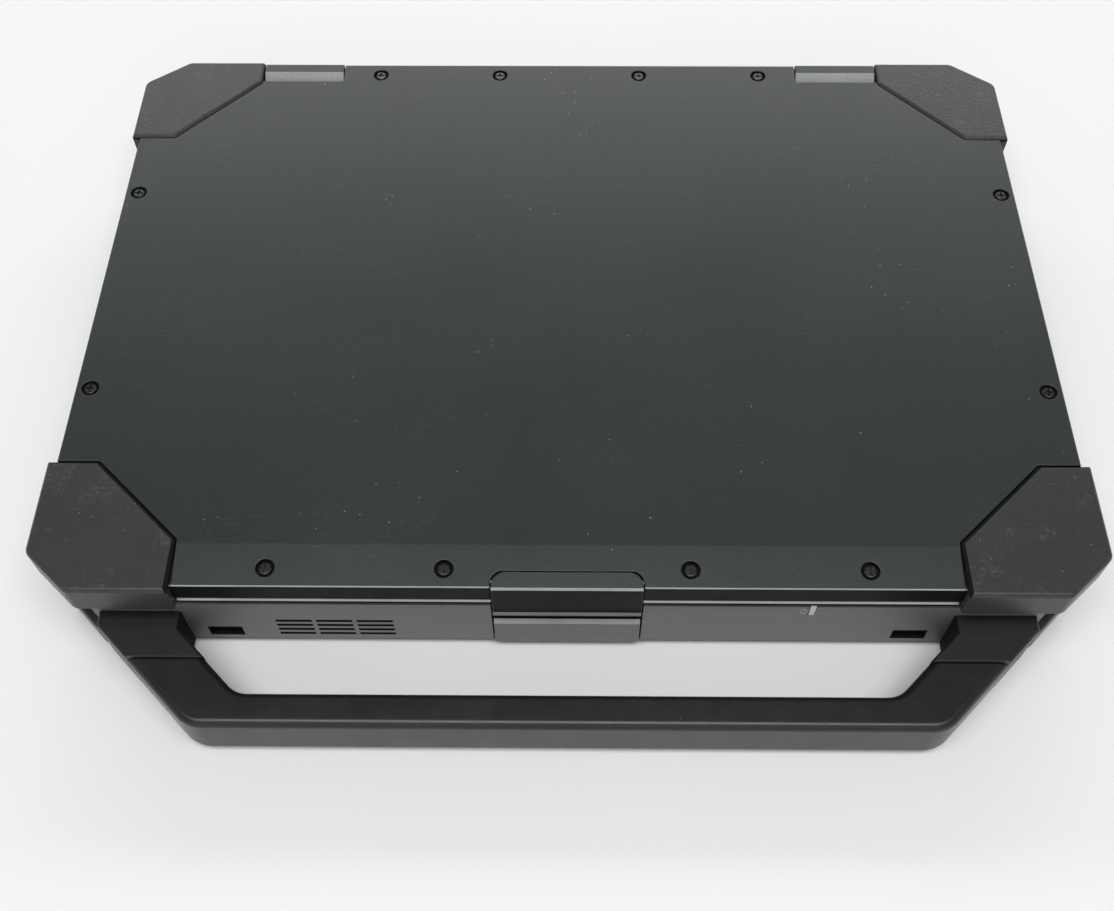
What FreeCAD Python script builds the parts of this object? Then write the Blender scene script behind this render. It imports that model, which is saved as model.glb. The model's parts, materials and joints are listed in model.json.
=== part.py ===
import FreeCAD, Part
import math
import os

V = FreeCAD.Vector

# Sizes are in millimetres. X runs to the user's right, Y away from the user, Z up from the table.
# The pieces are drawn about the middle of the corner bumpers, and moved back together at the end
# so that the origin lies on the table under the middle of the whole machine with its handle.

# Whole machine
body_width = 347.0
body_depth = 244.5
handle_reach = 35.25
foot_height = 2.0

# How far a cutter runs past the face that it opens
cut_past = 1.0

# Base
base_height = 28.0
base_side_inset = 4.0
base_front_inset = 3.35
base_rear_inset = 0.95
base_corner_leg = 14.65
case_wall = 3.0
case_floor = 2.5
deck_thickness = 2.5
edge_chamfer = 0.6
bottom_chamfer = 1.5

# Lid
lid_gap = 1.5
lid_thickness = 12.5
lid_side_inset = 2.9
lid_front_inset = 3.35
lid_rear_inset = 0.95
lid_corner_leg = 16.0
lid_wall = 2.4
lid_skin = 2.2
lid_lip_proud = 0.5
lid_lip_margin = 0.2
bezel_thickness = 2.0
bevel_run = 14.5
bevel_drop = 2.0

# Lid bumpers
bumper_proud = 0.6
bumper_skin = 3.0
bumper_roof = 2.6
bumper_hem = 0.5
bumper_seam = 0.3
bumper_edge = 1.0
bumper_rounding = 4.0
front_pad_run_x = 47.7
front_pad_run_y = 48.4
front_pad_land_x = 17.2
front_pad_land_y = 19.1
front_pad_cut_x = 15.5
front_pad_cut_y = 14.2
rear_pad_run_x = 47.5
rear_pad_run_y = 43.7
rear_pad_land_x = 17.1
rear_pad_land_y = 12.2
rear_pad_cut_x = 16.5
rear_pad_cut_y = 12.2

# Base bumpers
base_pad_height = 13.0
base_pad_reach = 2.0
base_pad_edge = 0.5
base_pad_cut = 18.5
base_pad_front_run_y = 20.0
base_pad_rear_run_y = 42.0
base_pad_rear_run_x = 30.0
strap_slot_length = 9.0
strap_slot_height = 4.0
strap_slot_depth = 3.0
strap_slot_z = 19.0

# Handle
arm_root_inset = 20.1
arm_root_width = 26.9
arm_width = 18.2
arm_reach = 16.1
arm_bottom = 3.0
arm_top = 24.0
grip_bottom = 2.0
grip_top = 22.4
grip_depth = 11.4
grip_outer_radius = 12.0
grip_inner_radius = 9.0
grip_edge = 2.5
tongue_margin = 4.5
tongue_length = 10.0
tongue_height = 11.0

# Hinges
hinge_axis_inset = 2.8
hinge_axis_drop = 6.0
hinge_pin_radius = 1.75
hinge_play = 0.05
notch_width = 33.4
notch_depth = 10.0
notch_play = 0.5
tower_front = 5.0
tower_slope_top = 1.7
tower_slope = 3.2
tower_play = 0.1
leaf_margin = 3.4
leaf_front = 3.0
leaf_rear = 1.8
leaf_rise = 3.2
leaf_foot_length = 18.0
leaf_foot_thickness = 3.0
hinge_block_width = 8.0
hinge_block_front = 6.5
hinge_block_drop = 4.4
hinge_strap_length = 26.0
hinge_strap_thickness = 2.2

# Latch
latch_half_width = 24.2
latch_seam = 0.3
latch_top_run = 5.9
latch_proud = 0.6
latch_rounding = 4.5
latch_corner_room = 0.35
latch_pin_rear = 2.6
latch_pin_drop = 2.0
latch_pin_radius = 1.0
latch_pin_grip = 3.0
latch_tongue_thickness = 2.4
latch_body_height = 4.0
latch_bottom = 24.5
latch_lip_proud = 0.9
latch_lip_edge = 0.6
latch_lip_height = 1.3
latch_nose_length = 0.8
latch_nose_height = 1.7
catch_gap = 0.3
catch_rise = 0.7
catch_height = 1.9
keeper_bottom = 3.6
keeper_top = 18.9
keeper_proud = 0.9
keeper_chamfer = 1.4
keeper_seam = 0.5
keeper_seat = 1.6
keeper_plate = 0.8

# Display
screen_side_margin = 15.6
screen_front_margin = 22.65
screen_rear_margin = 43.05
glass_margin = 4.5
glass_thickness = 1.1
panel_margin = 3.0
panel_thickness = 4.0
camera_glass_gap = 1.75
camera_width = 30.0
camera_depth = 7.0
camera_height = 4.0
camera_lens_radius = 1.8
shutter_length = 12.0
shutter_width = 4.0
shutter_recess = 0.8
shutter_travel = 8.0
shutter_knob = 0.6
shutter_play = 0.3
stop_pad_length = 16.0
stop_pad_width = 3.0
stop_pad_gap = 0.3
stop_pad_inset = 8.0
stop_pad_x = 70.0
stop_pad_side_y = 40.0

# Screws
lid_screw_head = 2.05
lid_screw_ring = 3.0
lid_screw_depth = 1.3
lid_screw_sunk = 0.15
lid_screw_shank = 1.0
lid_screw_boss = 3.2
lid_screw_bite = 1.2
screw_play = 0.15
screw_slot_width = 0.7
screw_slot_length = 2.8
screw_slot_depth = 0.7
lid_screw_rear_inset = 6.4
lid_screw_rear_inner_x = 28.5
lid_screw_notch_gap = 15.2
lid_screw_front_inset = 6.2
lid_screw_latch_gap = 15.0
lid_screw_bumper_gap = 29.7
lid_screw_side_inset = 5.2
lid_screw_side_y = (48.7, -43.7)
base_screw_head = 2.4
base_screw_head_height = 1.2
base_screw_sunk = 0.3
base_screw_shank = 1.2
base_screw_boss = 3.2
base_screw_bite = 1.5
base_screw_corner_x = 11.5
base_screw_corner_y = 8.9
base_screw_latch_gap = 16.0
base_screw_latch_y = 9.9
base_screw_side_x = 9.5
base_screw_side_gap = 9.0
base_screw_rear_x = 14.5
base_screw_rear_y = 12.3
base_screw_middle_y = 10.3
handle_screw_head = 2.6
handle_screw_head_height = 1.5
handle_screw_shank = 1.4
handle_screw_bite = 8.0
handle_screw_margin = 6.5
handle_screw_z = 13.0

# Keyboard
key_pitch = 19.0
key_spacing = 3.4
key_play = 0.35
key_rise = 0.8
key_thickness = 3.0
key_travel = 1.6
key_stem = 3.0
key_stem_length = 2.6
key_stem_play = 0.3
function_row_pitch = 13.0
keyboard_inset = 25.8
keyboard_margin = 3.0
key_plate_thickness = 1.5
key_floor_gap = 0.2
key_rows = (
    ("function_key_row", (0.9375,) * 16),
    ("number_key_row", (1.0,) * 13 + (2.0,)),
    ("upper_key_row", (1.5,) + (1.0,) * 12 + (1.5,)),
    ("home_key_row", (1.75,) + (1.0,) * 11 + (2.25,)),
    ("lower_key_row", (2.25,) + (1.0,) * 10 + (2.75,)),
    ("space_key_row", (1.0,) * 4 + (5.0,) + (1.0,) * 6),
)

# Touchpad and buttons
touchpad_width = 104.0
touchpad_length = 56.0
touchpad_x = -10.0
touchpad_set_back = 1.7
touchpad_recess = 1.8
touchpad_thickness = 1.5
touchpad_play = 0.3
touch_button_length = 13.0
touch_button_spacing = 3.0
button_thickness = 1.2
button_rise = 0.2
button_travel = 0.8
button_floor_gap = 0.2
button_play = 0.3
power_button_side_inset = 31.5
power_button_inset = 17.3
power_button_width = 12.0
power_button_length = 7.0

# Front face details
speaker_slot_width = 11.9
speaker_slot_height = 1.4
speaker_slot_pitch_x = 13.5
speaker_slot_pitch_z = 3.17
speaker_slot_columns = 3
speaker_slot_rows = 4
speaker_slot_x = -96.7
speaker_slot_z = 6.8
speaker_margin = 3.0
speaker_depth = 10.0
speaker_height = 14.5
pocket_width = 11.4
pocket_arm_gap = 6.1
pocket_bottom = 6.0
pocket_top = 12.2
pocket_depth = 1.5
light_pipe_x = 79.7
light_pipe_width = 1.9
light_pipe_bottom = 23.8
light_pipe_depth = 2.2
light_pipe_top_length = 6.0
light_pipe_proud = 0.15

# Batteries
battery_length = 117.5
battery_width = 67.4
battery_height = 18.0
battery_front_inset = 17.2
battery_play = 0.3

# Port doors
side_door_length = 60.0
side_door_y = 15.0
rear_door_length = 74.0
rear_door_x = 52.0
door_bottom = 5.2
door_height = 16.0
door_thickness = 2.4
door_play = 0.3

# Sockets behind the doors: place along the door, width and height of each
side_sockets = ((-18.0, 14.5, 7.0), (0.0, 14.5, 7.0), (18.0, 9.0, 7.0))
rear_sockets = ((-22.0, 16.0, 11.0), (0.0, 11.0, 10.0), (20.0, 20.0, 9.0))
socket_wall = 0.8

# Boards and cooling
board_rise = 3.5
board_thickness = 1.6
board_side_gap = 16.5
board_front_gap = 6.3
board_rear_gap = 21.3
board_boss = 6.0
board_boss_front_x = 80.0
board_boss_front_inset = 8.0
board_boss_rear_inset = 10.0
board_boss_side_inset = 10.0
board_boss_side_y = 38.0
processor_size = 34.0
processor_height = 2.4
processor_x = -40.0
processor_rear_inset = 40.0
socket_height = 1.6
memory_length = 67.6
memory_width = 30.0
memory_thickness = 1.2
memory_x = 60.0
memory_drive_gap = 16.0
drive_length = 80.0
drive_width = 22.0
drive_thickness = 2.2
drive_x = 62.0
drive_front_inset = 15.0
fan_side_inset = 2.0
fan_rear_inset = 4.0
fan_size = 52.0
fan_height = 12.5
fan_shell = 1.2
fan_shaft_radius = 2.0
fan_shaft_play = 0.05
fan_hub_radius = 9.0
fan_blade_reach = 22.0
fan_blade_count = 11
fan_blade_thickness = 0.9
fan_blade_height = 7.5
fan_clearance = 1.0
fin_count = 12
fin_thickness = 1.0
fin_length = 19.0
fin_block_width = 40.0
heat_pipe_width = 8.0
heat_pipe_thickness = 2.4
vent_slot_count = 9
vent_slot_width = 2.6
vent_slot_bottom = 6.5
vent_slot_top = 17.0

# Feet
foot_length = 40.0
foot_width = 12.0
foot_side_inset = 24.0
foot_end_inset = 26.0

# Heights and edges that follow from the sizes above
half_width = body_width / 2
half_depth = body_depth / 2
base_x = half_width - base_side_inset
base_front = -half_depth + base_front_inset
base_rear = half_depth - base_rear_inset
case_bottom = foot_height
floor_top = case_bottom + case_floor
deck_top = case_bottom + base_height
deck_bottom = deck_top - deck_thickness
lid_x = half_width - lid_side_inset
lid_front = -half_depth + lid_front_inset
lid_rear = half_depth - lid_rear_inset
lid_bottom = deck_top + lid_gap
lid_top = lid_bottom + lid_thickness
bezel_top = lid_bottom + bezel_thickness
bevel_start = lid_front + bevel_run
body_shift = handle_reach / 2
corner_sum = half_width + half_depth - base_pad_cut
hinge_y = lid_rear - hinge_axis_inset
hinge_z = lid_top - hinge_axis_drop
notch_outer_x = half_width - rear_pad_run_x
notch_inner_x = notch_outer_x - notch_width
arm_root_outer = half_width - arm_root_inset
arm_root_inner = arm_root_outer - arm_root_width
lid_screw_rear_x = (lid_screw_rear_inner_x, notch_inner_x - lid_screw_notch_gap)
lid_screw_front_x = (
    latch_half_width + lid_screw_latch_gap, half_width - front_pad_run_x - lid_screw_bumper_gap)
bevel_slope = bevel_drop / bevel_run
latch_front = lid_front - latch_proud
latch_rear = latch_front + latch_top_run
latch_y = latch_rear - latch_pin_rear
latch_z = lid_top - bevel_slope * (bevel_start - latch_rear) - latch_pin_drop
screen_half = lid_x - screen_side_margin
screen_rear = lid_rear - screen_rear_margin
screen_front = lid_front + screen_front_margin
camera_y = screen_front - glass_margin - camera_glass_gap - camera_depth / 2
battery_front = base_front + battery_front_inset
board_half_width = base_x - case_wall - board_side_gap
board_front_y = battery_front + battery_width + board_front_gap
board_rear_y = base_rear - board_rear_gap
board_boss_side_x = board_half_width - board_boss_side_inset
board_boss_rear_y = board_rear_y - board_boss_rear_inset
board_boss_places = (
    (-board_boss_front_x, board_front_y + board_boss_front_inset),
    (board_boss_front_x, board_front_y + board_boss_front_inset),
    (board_boss_side_x, board_boss_rear_y), (0.0, board_boss_rear_y),
    (board_boss_side_x, board_front_y + board_boss_side_y),
    (-board_boss_side_x, board_front_y + board_boss_side_y))
processor_y = board_rear_y - processor_rear_inset
drive_y = board_front_y + drive_front_inset + drive_width / 2
memory_y = drive_y + drive_width / 2 + memory_drive_gap + memory_width / 2
fan_x = fan_side_inset + fan_size / 2 - board_half_width
fan_y = board_rear_y - fan_rear_inset - fan_size / 2
board_bottom = floor_top + board_rise
board_top = board_bottom + board_thickness
power_button_x = base_x - power_button_side_inset
keyboard_back = base_rear - keyboard_inset
keyboard_pitches = sum(key_rows[0][1])
keyboard_x = keyboard_pitches * key_pitch / 2
keyboard_length = function_row_pitch + (len(key_rows) - 1) * key_pitch
keyboard_front = keyboard_back - keyboard_length
pointing_length = touchpad_length + touch_button_spacing + touch_button_length
palm_room = keyboard_front - base_front - pointing_length
touchpad_front = base_front + palm_room / 2 + touchpad_set_back + touch_button_length + touch_button_spacing
button_well = button_thickness - button_rise + button_travel + button_floor_gap
key_top = deck_top + key_rise
key_bottom = key_top - key_thickness
key_plate_top = key_bottom - key_travel - key_floor_gap
front_pad = (
    front_pad_run_x, front_pad_run_y, front_pad_land_x, front_pad_land_y, front_pad_cut_x, front_pad_cut_y)
rear_pad = (
    rear_pad_run_x, rear_pad_run_y, rear_pad_land_x, rear_pad_land_y, rear_pad_cut_x, rear_pad_cut_y)
base_screw_pairs = (
    (base_x - base_screw_corner_x, base_front + base_screw_corner_y),
    (latch_half_width + base_screw_latch_gap, base_front + base_screw_latch_y),
    (base_x - base_screw_side_x, battery_front + battery_width + base_screw_side_gap),
    (base_x - base_screw_rear_x, base_rear - base_screw_rear_y))
base_screw_places = [(side * x, y) for x, y in base_screw_pairs for side in (-1, 1)]
base_screw_places.append((0.0, base_rear - base_screw_middle_y))


# Drawing helpers

def at_height(z):
    """Lays an outline flat at one height."""
    return lambda x, y: V(x, y, z)


def at_side(x):
    """Stands an outline of (y, z) points up across the machine."""
    return lambda y, z: V(x, y, z)


def rounded_corner(before, corner, after, radius):
    """Start, middle and end of the arc that rounds one corner, or the sharp corner alone."""
    if radius <= 0:
        return [corner]
    back = (before - corner).normalize()
    ahead = (after - corner).normalize()
    half_angle = back.getAngle(ahead) / 2
    reach = radius / math.tan(half_angle)
    bisector = (back + ahead).normalize()
    middle = corner + bisector * (radius / math.sin(half_angle) - radius)
    return [corner + back * reach, middle, corner + ahead * reach]


def outline(corners, place):
    """A closed wire through (u, v) or (u, v, radius) corners."""
    padded = [tuple(corner) + (0.0,) * (3 - len(corner)) for corner in corners]
    points = [place(u, v) for u, v, radius in padded]
    count = len(points)
    bends = []
    for index in range(count):
        before = points[index - 1]
        after = points[(index + 1) % count]
        bends.append(rounded_corner(before, points[index], after, padded[index][2]))
    edges = []
    for index in range(count):
        bend = bends[index]
        if len(bend) == 3:
            edges.append(Part.Arc(*bend).toShape())
        start = bend[-1]
        end = bends[(index + 1) % count][0]
        if start.distanceToPoint(end) > 1e-6:
            edges.append(Part.LineSegment(start, end).toShape())
    return Part.Wire(edges)


def prism(corners, z0, z1):
    """An upright prism on a flat outline."""
    return Part.Face(outline(corners, at_height(z0))).extrude(V(0, 0, z1 - z0))


def slab(corners, x0, x1):
    """A prism across the machine on an outline of (y, z) points."""
    return Part.Face(outline(corners, at_side(x0))).extrude(V(x1 - x0, 0, 0))


def chamfered(block, size, z):
    """A block with the rim of its flat face at one height cut back."""
    rim = [edge for edge in block.Edges if abs(edge.BoundBox.ZMin - z) + edge.BoundBox.ZLength < 1e-5]
    return block.makeChamfer(size, rim)


def box(x0, x1, y0, y1, z0, z1):
    """A block between two corners."""
    return Part.makeBox(abs(x1 - x0), y1 - y0, z1 - z0, V(min(x0, x1), y0, z0))


def upright_rod(x, y, z0, z1, radius):
    """A round rod along Z."""
    return Part.makeCylinder(radius, z1 - z0, V(x, y, z0), V(0, 0, 1))


def cross_rod(x0, x1, y, z, radius):
    """A round rod along X."""
    return Part.makeCylinder(radius, abs(x1 - x0), V(min(x0, x1), y, z), V(1, 0, 0))


def depth_rod(x, y0, y1, z, radius):
    """A round rod along Y."""
    return Part.makeCylinder(radius, y1 - y0, V(x, y0, z), V(0, 1, 0))


def joined(shapes):
    """One solid from touching or crossing shapes."""
    return shapes[0].multiFuse(shapes[1:]).removeSplitter()


def without(shape, tools):
    """A shape with every tool cut away."""
    return shape.cut(Part.makeCompound(tools))


def export(name, shape):
    """Writes one piece, moved back to the shared origin."""
    placed = shape.copy()
    placed.translate(V(0, body_shift, 0))
    placed.exportStep("parts/" + name + ".step")


def cut_corner_plan(half_x, front, rear, leg, inset=0.0):
    """Outline with its four corners cut off, drawn in by the inset on every side."""
    x = half_x - inset
    y0 = front + inset
    y1 = rear - inset
    cut = leg - inset * (2 - math.sqrt(2))
    return [
        (-x, y0 + cut), (-x + cut, y0), (x - cut, y0), (x, y0 + cut),
        (x, y1 - cut), (x - cut, y1), (-x + cut, y1), (-x, y1 - cut)]


def base_plan(inset=0.0):
    """Outline of the base seen from above."""
    return cut_corner_plan(base_x, base_front, base_rear, base_corner_leg, inset)


def lid_plan(inset=0.0):
    """Outline of the lid seen from above."""
    return cut_corner_plan(lid_x, lid_front, lid_rear, lid_corner_leg, inset)


# Lid

def pad_outline(side, end, pad, grow=0.0):
    """Outline of a lid bumper: side is -1 or 1 across, end is -1 for the front and 1 for the rear."""
    run_x, run_y, land_x, land_y, cut_x, cut_y = pad
    end_x = run_x + grow
    end_y = run_y + grow
    inward = (
        (0.0, end_y, 0.0), (0.0, cut_y, bumper_rounding), (cut_x, 0.0, bumper_rounding),
        (end_x, 0.0, 0.0), (end_x, land_y + grow / 2, 0.0), (land_x + grow / 2, end_y, 0.0))
    return [(side * (half_width - u), end * (half_depth - v), radius) for u, v, radius in inward]


def bumper_core():
    """What the lid bumpers are hollowed for: the corners of the lid inside their skins."""
    plan = cut_corner_plan(
        half_width - bumper_skin, -half_depth + bumper_skin, half_depth - bumper_skin, lid_corner_leg)
    return prism(plan, lid_bottom, lid_top + bumper_proud - bumper_roof)


def lid_bumper(side, end, pad):
    """A rubber cap over one corner of the lid."""
    top = lid_top + bumper_proud
    block = prism(pad_outline(side, end, pad), lid_bottom + bumper_hem, top)
    return chamfered(block, bumper_edge, top).cut(bumper_core())


def bumper_room():
    """The space that the four lid bumpers take from the lid, with their seams."""
    rooms = []
    for side in (-1, 1):
        for end, pad in ((-1, front_pad), (1, rear_pad)):
            rooms.append(prism(pad_outline(side, end, pad, bumper_seam), lid_bottom, lid_top + bumper_proud))
    return [room.cut(bumper_core()) for room in rooms]


def hinge_notches(grow=0.0):
    """The gaps in the rear edge of the lid where the hinge towers stand."""
    notches = []
    for side in (-1, 1):
        notches.append(box(
            side * (notch_inner_x - grow), side * (notch_outer_x + grow),
            lid_rear - notch_depth - grow, lid_rear + notch_depth, lid_bottom, lid_top))
    return notches


def latch_room(grow=0.0):
    """The space in the front of the lid where the latch swings."""
    half = latch_half_width + latch_seam + grow
    swing = math.hypot(latch_pin_rear, latch_pin_drop) + latch_seam / 2 + grow
    front = slab(
        [(lid_front - cut_past, lid_bottom), (latch_y + latch_seam + grow, lid_bottom),
         (latch_y + latch_seam + grow, lid_top), (lid_front - cut_past, lid_top)], -half, half)
    rear = latch_rear + latch_seam + latch_corner_room + grow
    rounding = latch_rounding + latch_seam + grow
    inside = prism(
        [(-half, lid_front - cut_past), (half, lid_front - cut_past),
         (half, rear, rounding), (-half, rear, rounding)], lid_bottom, lid_top)
    return front.fuse(cross_rod(-half, half, latch_y, latch_z, swing)).common(inside)


def lid_block():
    """The closed outside of the lid, before it is split and hollowed."""
    body = chamfered(prism(lid_plan(), lid_bottom, lid_top), edge_chamfer, lid_top)
    bevel = slab(
        [(lid_front - cut_past, lid_top - bevel_slope * (bevel_run + cut_past)),
         (bevel_start, lid_top), (lid_front - cut_past, lid_top)], -half_width, half_width)
    return without(body, [bevel, latch_room()] + bumper_room() + hinge_notches())


def lid_screw_places():
    """Centres of the lid screws and the height of the lid's skin at each."""
    places = []
    front_y = lid_front + lid_screw_front_inset
    front_z = lid_top - bevel_slope * (bevel_start - front_y)
    for side in (-1, 1):
        for x in lid_screw_rear_x:
            places.append((side * x, lid_rear - lid_screw_rear_inset, lid_top))
        for x in lid_screw_front_x:
            places.append((side * x, front_y, front_z))
        for y in lid_screw_side_y:
            places.append((side * (lid_x - lid_screw_side_inset), y, lid_top))
    return places


def hinge_arm_room(side, grow=0.0):
    """The block that turns on the hinge pin and its strap under the lid's skin, or the room for them."""
    inner = side * (notch_inner_x - notch_play - hinge_block_width - grow)
    outer = side * (notch_inner_x - notch_play + grow)
    front = hinge_y - hinge_block_front - grow
    roof = lid_top - lid_skin
    block = box(inner, outer, front, lid_rear - notch_play + grow, hinge_z - hinge_block_drop - grow, roof)
    strap = box(inner, outer, front - hinge_strap_length, front, roof - hinge_strap_thickness - grow, roof)
    return joined([block, strap])


def lid_cover():
    """The painted outer shell of the lid, with bosses for its screws."""
    shell = lid_block().cut(box(-half_width, half_width, -half_depth, half_depth, lid_bottom, bezel_top))
    cavity = prism(lid_plan(lid_wall), lid_bottom, lid_top - lid_skin)
    low_front = box(
        -half_width, half_width, lid_front, bevel_start + lid_wall, lid_top - lid_skin - bevel_drop, lid_top)
    keep = [low_front, latch_room(lid_wall)] + hinge_notches(lid_wall)
    for x, y, skin in lid_screw_places():
        keep.append(upright_rod(x, y, lid_bottom, lid_top, lid_screw_boss))
    holes = [without(cavity, keep)]
    for x, y, skin in lid_screw_places():
        holes.append(upright_rod(x, y, skin - lid_screw_depth, lid_top + cut_past, lid_screw_ring))
        holes.append(upright_rod(x, y, lid_bottom, lid_top, lid_screw_shank + screw_play))
    for side in (-1, 1):
        holes.append(hinge_arm_room(side, notch_play))
    holes.append(cross_rod(
        -latch_half_width - latch_pin_grip, latch_half_width + latch_pin_grip, latch_y, latch_z,
        latch_pin_radius + hinge_play))
    return without(shell, holes)


def bezel_lip():
    """The thin lip along the front of the bezel, between the bumpers and beside the latch."""
    edge = half_width - front_pad_run_x - bumper_seam
    front = lid_front - lid_lip_proud
    low = lid_bottom + lid_lip_margin
    high = bezel_top - lid_lip_margin
    strip = slab(
        [(lid_front + lid_lip_proud, low), (front, low), (front, high - lid_lip_proud), (lid_front, high),
         (lid_front + lid_lip_proud, high)], -edge, edge)
    return strip.cut(latch_room())


def lid_bezel():
    """The frame round the screen, on the inside of the lid."""
    frame = lid_block().common(box(-half_width, half_width, -half_depth, half_depth, lid_bottom, bezel_top))
    slot_half = (shutter_length + shutter_travel) / 2 + shutter_play
    slot_middle = shutter_travel / 2
    holes = [
        box(-screen_half, screen_half, screen_front, screen_rear, lid_bottom, bezel_top),
        box(slot_middle - slot_half, slot_middle + slot_half,
            camera_y - shutter_width / 2 - shutter_play, camera_y + shutter_width / 2 + shutter_play,
            lid_bottom, lid_bottom + shutter_recess + shutter_play),
        upright_rod(0.0, camera_y, lid_bottom, bezel_top, camera_lens_radius + screw_play)]
    for x, y, skin in lid_screw_places():
        holes.append(upright_rod(x, y, bezel_top - lid_screw_bite, bezel_top, lid_screw_shank + screw_play))
    return without(joined([frame, bezel_lip()]), holes)


def touch_glass():
    """The front glass, held behind the bezel."""
    half = screen_half + glass_margin
    return box(
        -half, half, screen_front - glass_margin, screen_rear + glass_margin,
        bezel_top, bezel_top + glass_thickness)


def lcd_panel():
    """The display panel behind its glass."""
    half = screen_half + panel_margin
    back = bezel_top + glass_thickness
    return box(
        -half, half, screen_front - panel_margin, screen_rear + panel_margin, back, back + panel_thickness)


def lid_screw(x, y, skin):
    """One dark cross-recess screw of the lid."""
    head_top = skin - lid_screw_sunk
    head = upright_rod(x, y, skin - lid_screw_depth, head_top, lid_screw_head)
    tip = bezel_top - lid_screw_bite + screw_play
    shank = upright_rod(x, y, tip, skin - lid_screw_depth, lid_screw_shank)
    thin = screw_slot_width / 2
    long = screw_slot_length / 2
    bottom = head_top - screw_slot_depth
    slots = [
        box(x - thin, x + thin, y - long, y + long, bottom, head_top),
        box(x - long, x + long, y - thin, y + thin, bottom, head_top)]
    return without(joined([head, shank]), slots)


def hinge_arm(side):
    """The steel arm that carries the lid, with the bore that turns on the hinge pin."""
    inner = side * (notch_inner_x - notch_play - hinge_block_width)
    outer = side * (notch_inner_x - notch_play)
    bore = cross_rod(inner, outer, hinge_y, hinge_z, hinge_pin_radius + hinge_play)
    return hinge_arm_room(side).cut(bore)


def camera_module():
    """The camera on its small board, above the screen."""
    board = box(
        -camera_width / 2, camera_width / 2, camera_y - camera_depth / 2, camera_y + camera_depth / 2,
        bezel_top, bezel_top + camera_height)
    lens_front = lid_bottom + shutter_recess + 2 * shutter_play
    lens = upright_rod(0.0, camera_y, lens_front, bezel_top, camera_lens_radius)
    return joined([board, lens])


def camera_shutter():
    """The small slide that covers the camera."""
    y0 = camera_y - shutter_width / 2
    y1 = y0 + shutter_width
    middle = shutter_travel
    end = middle + shutter_length / 2
    plate = box(middle - shutter_length / 2, end, y0, y1, lid_bottom, lid_bottom + shutter_recess)
    knob = box(middle + shutter_length / 4, end, y0, y1, lid_bottom - shutter_knob, lid_bottom)
    return joined([plate, knob])


def lid_stop_pads():
    """Soft pads on the bezel that the lid closes on."""
    pads = []
    front = lid_front + stop_pad_inset
    edge = lid_x - stop_pad_inset
    bottom = deck_top + stop_pad_gap
    for side in (-1, 1):
        pads.append(box(
            side * stop_pad_x, side * (stop_pad_x + stop_pad_length), front, front + stop_pad_width,
            bottom, lid_bottom))
        pads.append(box(
            side * (edge - stop_pad_width), side * edge, stop_pad_side_y, stop_pad_side_y + stop_pad_length,
            bottom, lid_bottom))
    return Part.makeCompound(pads)


# Latch

def latch():
    """The flap that hooks the lid to the base, with its nose and its pin bore."""
    inner = latch_front + latch_tongue_thickness
    nose = inner + latch_nose_length
    nose_top = latch_bottom + latch_nose_height
    top_rear = latch_z + latch_pin_drop
    top_front = top_rear - bevel_slope * latch_top_run
    shoulder = top_rear - latch_body_height
    lip = latch_front - latch_lip_proud
    profile = [
        (lip, latch_bottom), (lip, latch_bottom + latch_lip_edge),
        (latch_front, latch_bottom + latch_lip_height), (latch_front, top_front - edge_chamfer),
        (latch_front + edge_chamfer, top_front), (latch_rear, top_rear), (latch_rear, shoulder),
        (inner, shoulder), (inner, nose_top), (nose, nose_top), (nose, latch_bottom)]
    flap = slab(profile, -latch_half_width, latch_half_width)
    inside = prism(
        [(-latch_half_width, lip - cut_past), (latch_half_width, lip - cut_past),
         (latch_half_width, latch_rear, latch_rounding), (-latch_half_width, latch_rear, latch_rounding)],
        latch_bottom, lid_top)
    bore = cross_rod(-latch_half_width, latch_half_width, latch_y, latch_z, latch_pin_radius + hinge_play)
    return flap.common(inside).cut(bore)


def latch_pin():
    """The steel pin that the latch swings on, held in the lid at both ends."""
    reach = latch_half_width + latch_pin_grip
    return cross_rod(-reach, reach, latch_y, latch_z, latch_pin_radius)


def keeper_room(grow=0.0):
    """The recess in the front of the base that takes the latch and its keeper."""
    half = latch_half_width + keeper_seam + grow
    wall = latch_front + latch_tongue_thickness + latch_nose_length + catch_gap + keeper_seat + grow
    return box(-half, half, base_front - cut_past, wall, case_bottom, deck_top)


def latch_keeper():
    """The grey block on the base with the catch that the latch's nose goes under."""
    wall = latch_front + latch_tongue_thickness + latch_nose_length + catch_gap + keeper_seat
    catch_edge = wall - keeper_seat
    plate_front = wall - keeper_plate
    front = base_front - keeper_proud
    catch_bottom = latch_bottom + latch_nose_height + catch_rise
    profile = [
        (front, keeper_bottom), (front, keeper_top - keeper_chamfer), (front + keeper_chamfer, keeper_top),
        (plate_front, keeper_top), (plate_front, catch_bottom), (catch_edge, catch_bottom),
        (catch_edge, catch_bottom + catch_height), (wall, catch_bottom + catch_height), (wall, keeper_bottom)]
    return slab(profile, -latch_half_width, latch_half_width)


# Hinges on the base

def hinge_leaf(side):
    """The steel leaf in a hinge tower, with the pin that the lid turns on."""
    x0 = side * (notch_inner_x + notch_play + leaf_margin)
    x1 = side * (notch_outer_x - notch_play - leaf_margin)
    front = hinge_y - leaf_front
    post = box(x0, x1, front, hinge_y + leaf_rear, deck_bottom, hinge_z + leaf_rise)
    foot = box(
        x0, x1, base_rear - case_wall - leaf_foot_length, base_rear - case_wall,
        deck_bottom - leaf_foot_thickness, deck_bottom)
    pin_end = side * (notch_inner_x - notch_play - hinge_block_width)
    pin = cross_rod(pin_end, x0, hinge_y, hinge_z, hinge_pin_radius)
    return joined([foot, post, pin])


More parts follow.
